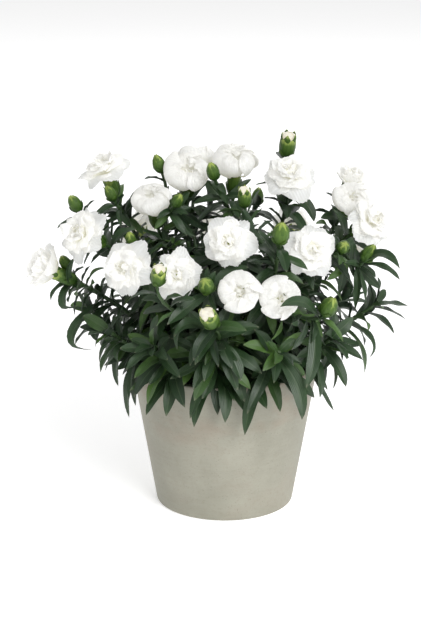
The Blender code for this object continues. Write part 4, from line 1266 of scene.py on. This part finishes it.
class Nodes:
    """A material's nodes, added and joined one at a time."""

    def __init__(self, name, roughness, **settings):
        self.material = bpy.data.materials.new(name)
        self.material.use_nodes = True
        self.tree = self.material.node_tree
        self.shader = self.tree.nodes["Principled BSDF"]
        self.shader.inputs["Roughness"].default_value = roughness
        for key, value in settings.items():
            self.shader.inputs[key.replace("_", " ")].default_value = value

    def node(self, kind, inputs=(), **settings):
        made = self.tree.nodes.new(kind)
        for key, value in settings.items():
            setattr(made, key, value)
        for key, value in dict(inputs).items():
            if isinstance(value, bpy.types.NodeSocket):
                self.tree.links.new(value, made.inputs[key])
            else:
                made.inputs[key].default_value = value
        return made

    def mark(self, name):
        return self.node("ShaderNodeAttribute", attribute_name=name).outputs["Fac"]

    def place(self, scale=(1, 1, 1)):
        spot = self.node("ShaderNodeTexCoord").outputs["Object"]
        return self.node("ShaderNodeMapping", {"Vector": spot, "Scale": scale}).outputs[0]

    def noise(self, spot, scale, detail=3.0, roughness=0.5):
        return self.node("ShaderNodeTexNoise", {"Vector": spot, "Scale": scale, "Detail": detail,
                                                "Roughness": roughness}).outputs["Fac"]

    def ramp(self, value, low, high, start=0.0, end=1.0):
        return self.node("ShaderNodeMapRange", {"Value": value, "From Min": low, "From Max": high,
                                                "To Min": start, "To Max": end}).outputs[0]

    def result(self, operation, *values):
        return self.node("ShaderNodeMath", dict(enumerate(values)), operation=operation).outputs[0]

    def sum(self, a, b):
        return self.result("ADD", a, b)

    def times(self, a, b):
        return self.result("MULTIPLY", a, b)

    def mix(self, share, a, b):
        """A colour between two. The node's sockets 6, 7 and 2 are the ones for colours."""
        made = self.node("ShaderNodeMix", {0: share}, data_type="RGBA")
        for key, value in ((6, a), (7, b)):
            if isinstance(value, bpy.types.NodeSocket):
                self.tree.links.new(value, made.inputs[key])
            else:
                made.inputs[key].default_value = (*value, 1)
        return made.outputs[2]

    def lay(self, base, colour, value, *ramp):
        """A colour laid over a base, as far as a value reaches on a ramp."""
        return self.mix(self.ramp(value, *ramp), base, colour)

    def colour(self, socket):
        self.tree.links.new(socket, self.shader.inputs["Base Color"])

    def rough(self, socket):
        self.tree.links.new(socket, self.shader.inputs["Roughness"])

    def bump(self, height, strength, distance):
        bump = self.node("ShaderNodeBump", {"Height": height, "Strength": strength, "Distance": distance})
        self.tree.links.new(bump.outputs[0], self.shader.inputs["Normal"])


# The colour at a petal's foot, and how far along the petal it goes
OPEN_HEART = ((0.70, 0.68, 0.40), 0.52)
FURLED_HEART = ((0.80, 0.69, 0.38), 1.5)


def petal_material(name, heart, heart_end):
    """White petals: fine veins, faint warm clouds, a creamy heart, and a faint warm glow all over. The glow
    is painted light, standing in for light that passes through the petals and lifts their shade.
    """
    # Painted light: the emission makes the petals glow faintly warm, which lightens their shaded creases as
    # if light came through them.
    n = Nodes(name, 0.6, Subsurface_Weight=0.7, Subsurface_Scale=0.005, Subsurface_Radius=(1, 0.95, 0.85),
              Emission_Color=(1, 0.99, 0.93, 1), Emission_Strength=0.14)
    along, across = n.mark("along"), n.mark("across")
    clouds = n.noise(n.place(), 90.0)
    white = n.mix(clouds, (0.80, 0.795, 0.765), (0.87, 0.865, 0.845))
    veins = n.result("SINE", n.sum(n.times(across, 42.0), n.times(clouds, 3.0)))
    white = n.lay(white, (0.62, 0.61, 0.57), veins, 0.2, 1.0, 0.0, 0.10)
    warm = n.sum(along, n.ramp(clouds, 0.0, 1.0, -0.08, 0.08))
    n.colour(n.mix(n.ramp(warm, 0.0, heart_end, 1.0, 0.0), white, heart))
    n.bump(n.sum(veins, n.times(clouds, 2.0)), 0.35, 0.00025)
    return n.material


def leaf_material():
    """Blue-green leaves with a matte bloom, a paler sunk midrib and fine lengthwise veins. Leaves of low tint
    get painted shade, darkening them towards a near-black green.
    """
    n = Nodes("leaf_fine", 0.46, Sheen_Weight=0.04, Sheen_Roughness=0.5)
    along, across, over, tint = (n.mark(mark) for mark in Fine.MARKS)
    clouds = n.noise(n.place(), 60.0, 4.0)
    deep = n.mix(clouds, (0.006, 0.024, 0.005), (0.024, 0.062, 0.016))
    fresh = n.mix(clouds, (0.034, 0.095, 0.010), (0.078, 0.168, 0.020))
    green = n.lay(deep, fresh, tint, 0.74, 1.0)
    # Painted shade: leaves with a low tint are darkened towards a shaded near-black green.
    green = n.lay(green, (0.007, 0.020, 0.008), tint, 0.0, 0.3, 0.7, 0.0)
    green = n.mix(over, n.mix(0.4, green, (0.052, 0.082, 0.052)), green)
    green = n.lay(green, (0.078, 0.123, 0.056), n.result("ABSOLUTE", across), 0.03, 0.13, 0.35, 0.0)
    n.colour(n.lay(green, (0.202, 0.202, 0.134), along, 0.93, 1.0, 0.0, 0.5))
    veins = n.result("SINE", n.times(across, 26.0))
    n.bump(n.sum(n.times(veins, 0.5), n.noise(n.place(), 400.0)), 0.3, 0.0003)
    n.rough(n.ramp(clouds, 0.2, 0.8, 0.34, 0.50))
    return n.material


def stem_material():
    """Green stems, some of them paler, with a fine grain along them."""
    n = Nodes("stem_fine", 0.5)
    green = n.mix(n.noise(n.place(), 120.0), (0.016, 0.040, 0.013), (0.038, 0.078, 0.025))
    n.colour(n.lay(green, (0.050, 0.095, 0.022), n.mark("tint"), 0.0, 1.0, 0.0, 0.4))
    n.bump(n.noise(n.place((1, 1, 0.2)), 900.0), 0.2, 0.0002)
    return n.material


def head_material():
    """Calyxes and buds: fresh green, darker at the foot and lighter and yellower towards their points. This
    is partly their own colour and partly painted light on the points and painted shade below.
    """
    n = Nodes("calyx_fine", 0.5, Specular_IOR_Level=0.3)
    along, across, tint = n.mark("along"), n.mark("across"), n.mark("tint")
    clouds = n.noise(n.place((1, 1, 0.5)), 160.0)
    # From the foot up to the points the green lightens: partly the heads' own colour, and partly painted
    # shade below and painted light on top.
    low = n.mix(tint, (0.010, 0.033, 0.005), (0.023, 0.064, 0.007))
    high = n.mix(tint, (0.036, 0.092, 0.010), (0.094, 0.168, 0.024))
    height = n.sum(along, n.ramp(clouds, 0.2, 0.8, -0.2, 0.2))
    green = n.lay(low, high, height, 0.15, 0.85)
    green = n.lay(green, (0.44, 0.53, 0.13), height, 0.74, 1.02, 0.0, 0.9)
    stripes = n.result("SINE", n.times(across, 40.0))
    n.colour(n.lay(green, (0.024, 0.070, 0.008), stripes, 0.3, 1.0, 0.0, 0.25))
    n.bump(n.sum(stripes, clouds), 0.3, 0.0003)
    return n.material


def pot_material():
    """Matte grey-beige ceramic, mottled, with faint level brush marks and warmer brown blotches that grow
    heavier towards the rim. The blotches are partly the pot's own staining and partly painted shade from the
    leaves over the rim.
    """
    n = Nodes("pot_glaze", 0.6, Specular_IOR_Level=0.25)
    spot = n.place()
    clouds = n.noise(spot, 26.0, 5.0, 0.6)
    grain = n.noise(spot, 420.0, 3.0, 0.7)
    brushed = n.noise(n.place((1, 1, 14)), 34.0, 4.0, 0.65)
    base = n.mix(n.ramp(clouds, 0.3, 0.7), (0.268, 0.262, 0.211), (0.355, 0.346, 0.287))
    base = n.lay(base, (0.386, 0.380, 0.316), brushed, 0.35, 0.75, 0.0, 0.20)
    base = n.lay(base, (0.240, 0.214, 0.162), grain, 0.5, 0.85, 0.0, 0.5)
    # Brown blotches, heavier towards the rim: partly the pot's own staining and partly painted shade cast by
    # the leaves that hang over the rim.
    stains_and_rim_shade = n.ramp(n.noise(n.place((1, 1, 1.6)), 17.0, 4.0, 0.6), 0.50, 0.68)
    high = n.node("ShaderNodeSeparateXYZ", {0: spot}).outputs["Z"]
    stain_and_rim_shade_share = n.times(stains_and_rim_shade, n.ramp(high, POT_HEIGHT * 0.5, POT_HEIGHT, 0.15, 0.8))
    base = n.mix(stain_and_rim_shade_share, base, (0.300, 0.222, 0.172))
    n.colour(n.lay(base, (0.150, 0.125, 0.095), n.noise(spot, 900.0, 1.0), 0.70, 0.76, 0.0, 0.5))
    n.bump(n.sum(n.times(grain, 0.6), brushed), 0.25, 0.0004)
    n.rough(n.ramp(clouds, 0.3, 0.7, 0.48, 0.62))
    return n.material


def compost_material():
    """Dark peat, mottled and rough."""
    n = Nodes("compost_fine", 0.95)
    clouds = n.noise(n.place(), 500.0, 4.0, 0.7)
    n.colour(n.mix(clouds, (0.012, 0.008, 0.006), (0.06, 0.04, 0.028)))
    n.bump(clouds, 0.9, 0.001)
    return n.material


def floor_material():
    """A white floor that glows enough to stay white."""
    n = Nodes("floor_white", 0.9, Emission_Color=(1, 1, 1, 1), Emission_Strength=0.42)
    n.colour(n.mix(n.noise(n.place(), 3.0), (0.90, 0.90, 0.90), (0.91, 0.91, 0.91)))
    return n.material


# Stage, lights and camera: places and sizes in metres, powers in watts
CLIP_START = 0.1
FLOOR_SIZE = 120
STUDIO_GLOW = {"From Min": -1, "From Max": 1, "To Min": 0.42, "To Max": 0.54}
LIGHTS = (
    ("key", (0.75, -1.45, 1.3), 1.0, 31),
    ("fill", (-1.3, -0.9, 0.8), 1.2, 1.5),
    ("back", (0.2, 1.4, 1.3), 1.2, 8),
)


def look_from(obj, place):
    obj.location = place
    obj.rotation_euler = (place - VIEW_CENTRE).to_track_quat("Z", "Y").to_euler()
    bpy.context.scene.collection.objects.link(obj)


def area_light(name, place, size, power):
    light = bpy.data.lights.new(name, "AREA")
    light.size = size
    light.energy = power
    look_from(bpy.data.objects.new(name, light), Vector(place))


def add_camera(view):
    camera = bpy.data.cameras.new("camera")
    camera.lens = VIEW_LENS
    camera.clip_start = CLIP_START
    camera.clip_end = FLOOR_SIZE
    eye = bpy.data.objects.new("camera", camera)
    look_from(eye, view.eye)
    bpy.context.scene.camera = eye


def light_studio():
    """A white surround, a little brighter on the right, and three soft lights."""
    world = bpy.data.worlds.new("studio")
    world.use_nodes = True
    tree = world.node_tree
    way = tree.nodes.new("ShaderNodeTexCoord").outputs["Generated"]
    parts = tree.nodes.new("ShaderNodeSeparateXYZ")
    ramp = tree.nodes.new("ShaderNodeMapRange")
    for name, value in STUDIO_GLOW.items():
        ramp.inputs[name].default_value = value
    tree.links.new(way, parts.inputs[0])
    tree.links.new(parts.outputs["X"], ramp.inputs["Value"])
    tree.links.new(ramp.outputs[0], tree.nodes["Background"].inputs["Strength"])
    tree.nodes["Background"].inputs["Color"].default_value = (1, 1, 1, 1)
    bpy.context.scene.world = world
    bpy.context.scene.view_settings.view_transform = "Standard"
    for light in LIGHTS:
        area_light(*light)


def lay_floor():
    bpy.ops.mesh.primitive_plane_add(size=FLOOR_SIZE, location=(0, 0, 0))
    floor = bpy.context.object
    floor.name = "floor"
    floor.data.materials.append(floor_material())


# Putting it together

Plan = namedtuple("Plan", "node stems rows heads leaves seen")


def plan_of(node, stems, rows, heads):
    return Plan(node, stems, rows, heads, grown_leaves(node, stems, rows), [])


def plans():
    """What each of the plant's solids holds."""
    made = []
    for number, spray in enumerate(SPRAYS, 1):
        node = f"spray_{number:02d}"
        stems = grown_stems(node, lambda attempt: spray_stems(number, spray, attempt))
        made.append(plan_of(node, stems, [LEADER_ROW] + [SIDE_ROW] * (len(stems) - 1), spray))
    for number, shoot in enumerate(SHOOTS, 1):
        node = f"shoot_{number:02d}"
        stems = grown_stems(node, lambda attempt: shoot_stems(number, shoot, attempt))
        made.append(plan_of(node, stems, (OUTER_ROW, INNER_ROW), ()))
    return made


def crowd_of(made, view):
    blades, stems, balls = [], [], []
    for plan in made:
        blades += [blade_marks(leaf) for leaf in plan.leaves]
        for stem in plan.stems:
            stems += [tuple(stem.curve(t)) for t in np.linspace(0, 1, STEM_MARKS)]
        for head in plan.heads:
            shown = plan.node not in BACK_SPRAYS
            balls.append((np.array((head.x, head.y, head.z)) * MM, head.size * MM / 2, shown))
            if head.kind in BLOOM_FORMS:
                balls.append((np.array(head_place(head, CALYX_MIDDLE).translation), CALYX_ROOM, False))
    return Crowd(blades, stems, balls, view)


def build_plant(plan, crowd, finishes):
    """One node's fine piece: its stems, leaves and green heads."""
    rng = random.Random(f"{plan.node} looks")
    fine = Fine()
    for k, stem in enumerate(plan.stems):
        fine_stem(fine, stem, rng.random(), 0 if k else FOOT_DEPTH)
    leaves = list(plan.leaves)
    for stem, row in zip(plan.stems, plan.rows):
        leaves += added_leaves(rng, crowd, stem, row, not plan.heads)
    for leaf in leaves:
        fine_leaf(fine, leaf, rng, rng.random())
    for leaf, tint in plan.seen:
        fine_leaf(fine, leaf, rng, tint)
    for head in plan.heads:
        grow_head = calyx if head.kind in BLOOM_FORMS else bud
        grow_head(fine, head, rng)
    fine.object(plan.node + "_fine", finishes, "leaf_green", plan.node)
    return len(leaves) - len(plan.leaves)


def main():
    greens = [stem_material(), leaf_material(), head_material()]
    white = petal_material("petal_fine", *OPEN_HEART)
    cream = petal_material("petal_furled", *FURLED_HEART)
    peat = compost_material()
    fine_pot(pot_material())
    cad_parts["compost"].data.materials.clear()
    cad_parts["compost"].data.materials.append(peat)

    made = plans()
    view = View()
    crowd = crowd_of(made, view)
    place_seen(made, crowd, view)
    added = [build_plant(plan, crowd, greens) for plan in made]
    print("leaves grown and added:", sum(len(plan.leaves) for plan in made), sum(added))
    crumbs([plan.stems[0].joints[0].xy for plan in made], peat)

    heads = [head for spray in SPRAYS for head in spray]
    for number, head in enumerate([head for head in heads if head.kind in BLOOM_FORMS], 1):
        fine_bloom(f"bloom_{number:02d}", head, white)
    for number, head in enumerate([head for head in heads if head.kind == "opening"], 1):
        bud_tip(f"bud_petals_{number}", head, cream)
    add_camera(view)
    light_studio()
    lay_floor()


main()
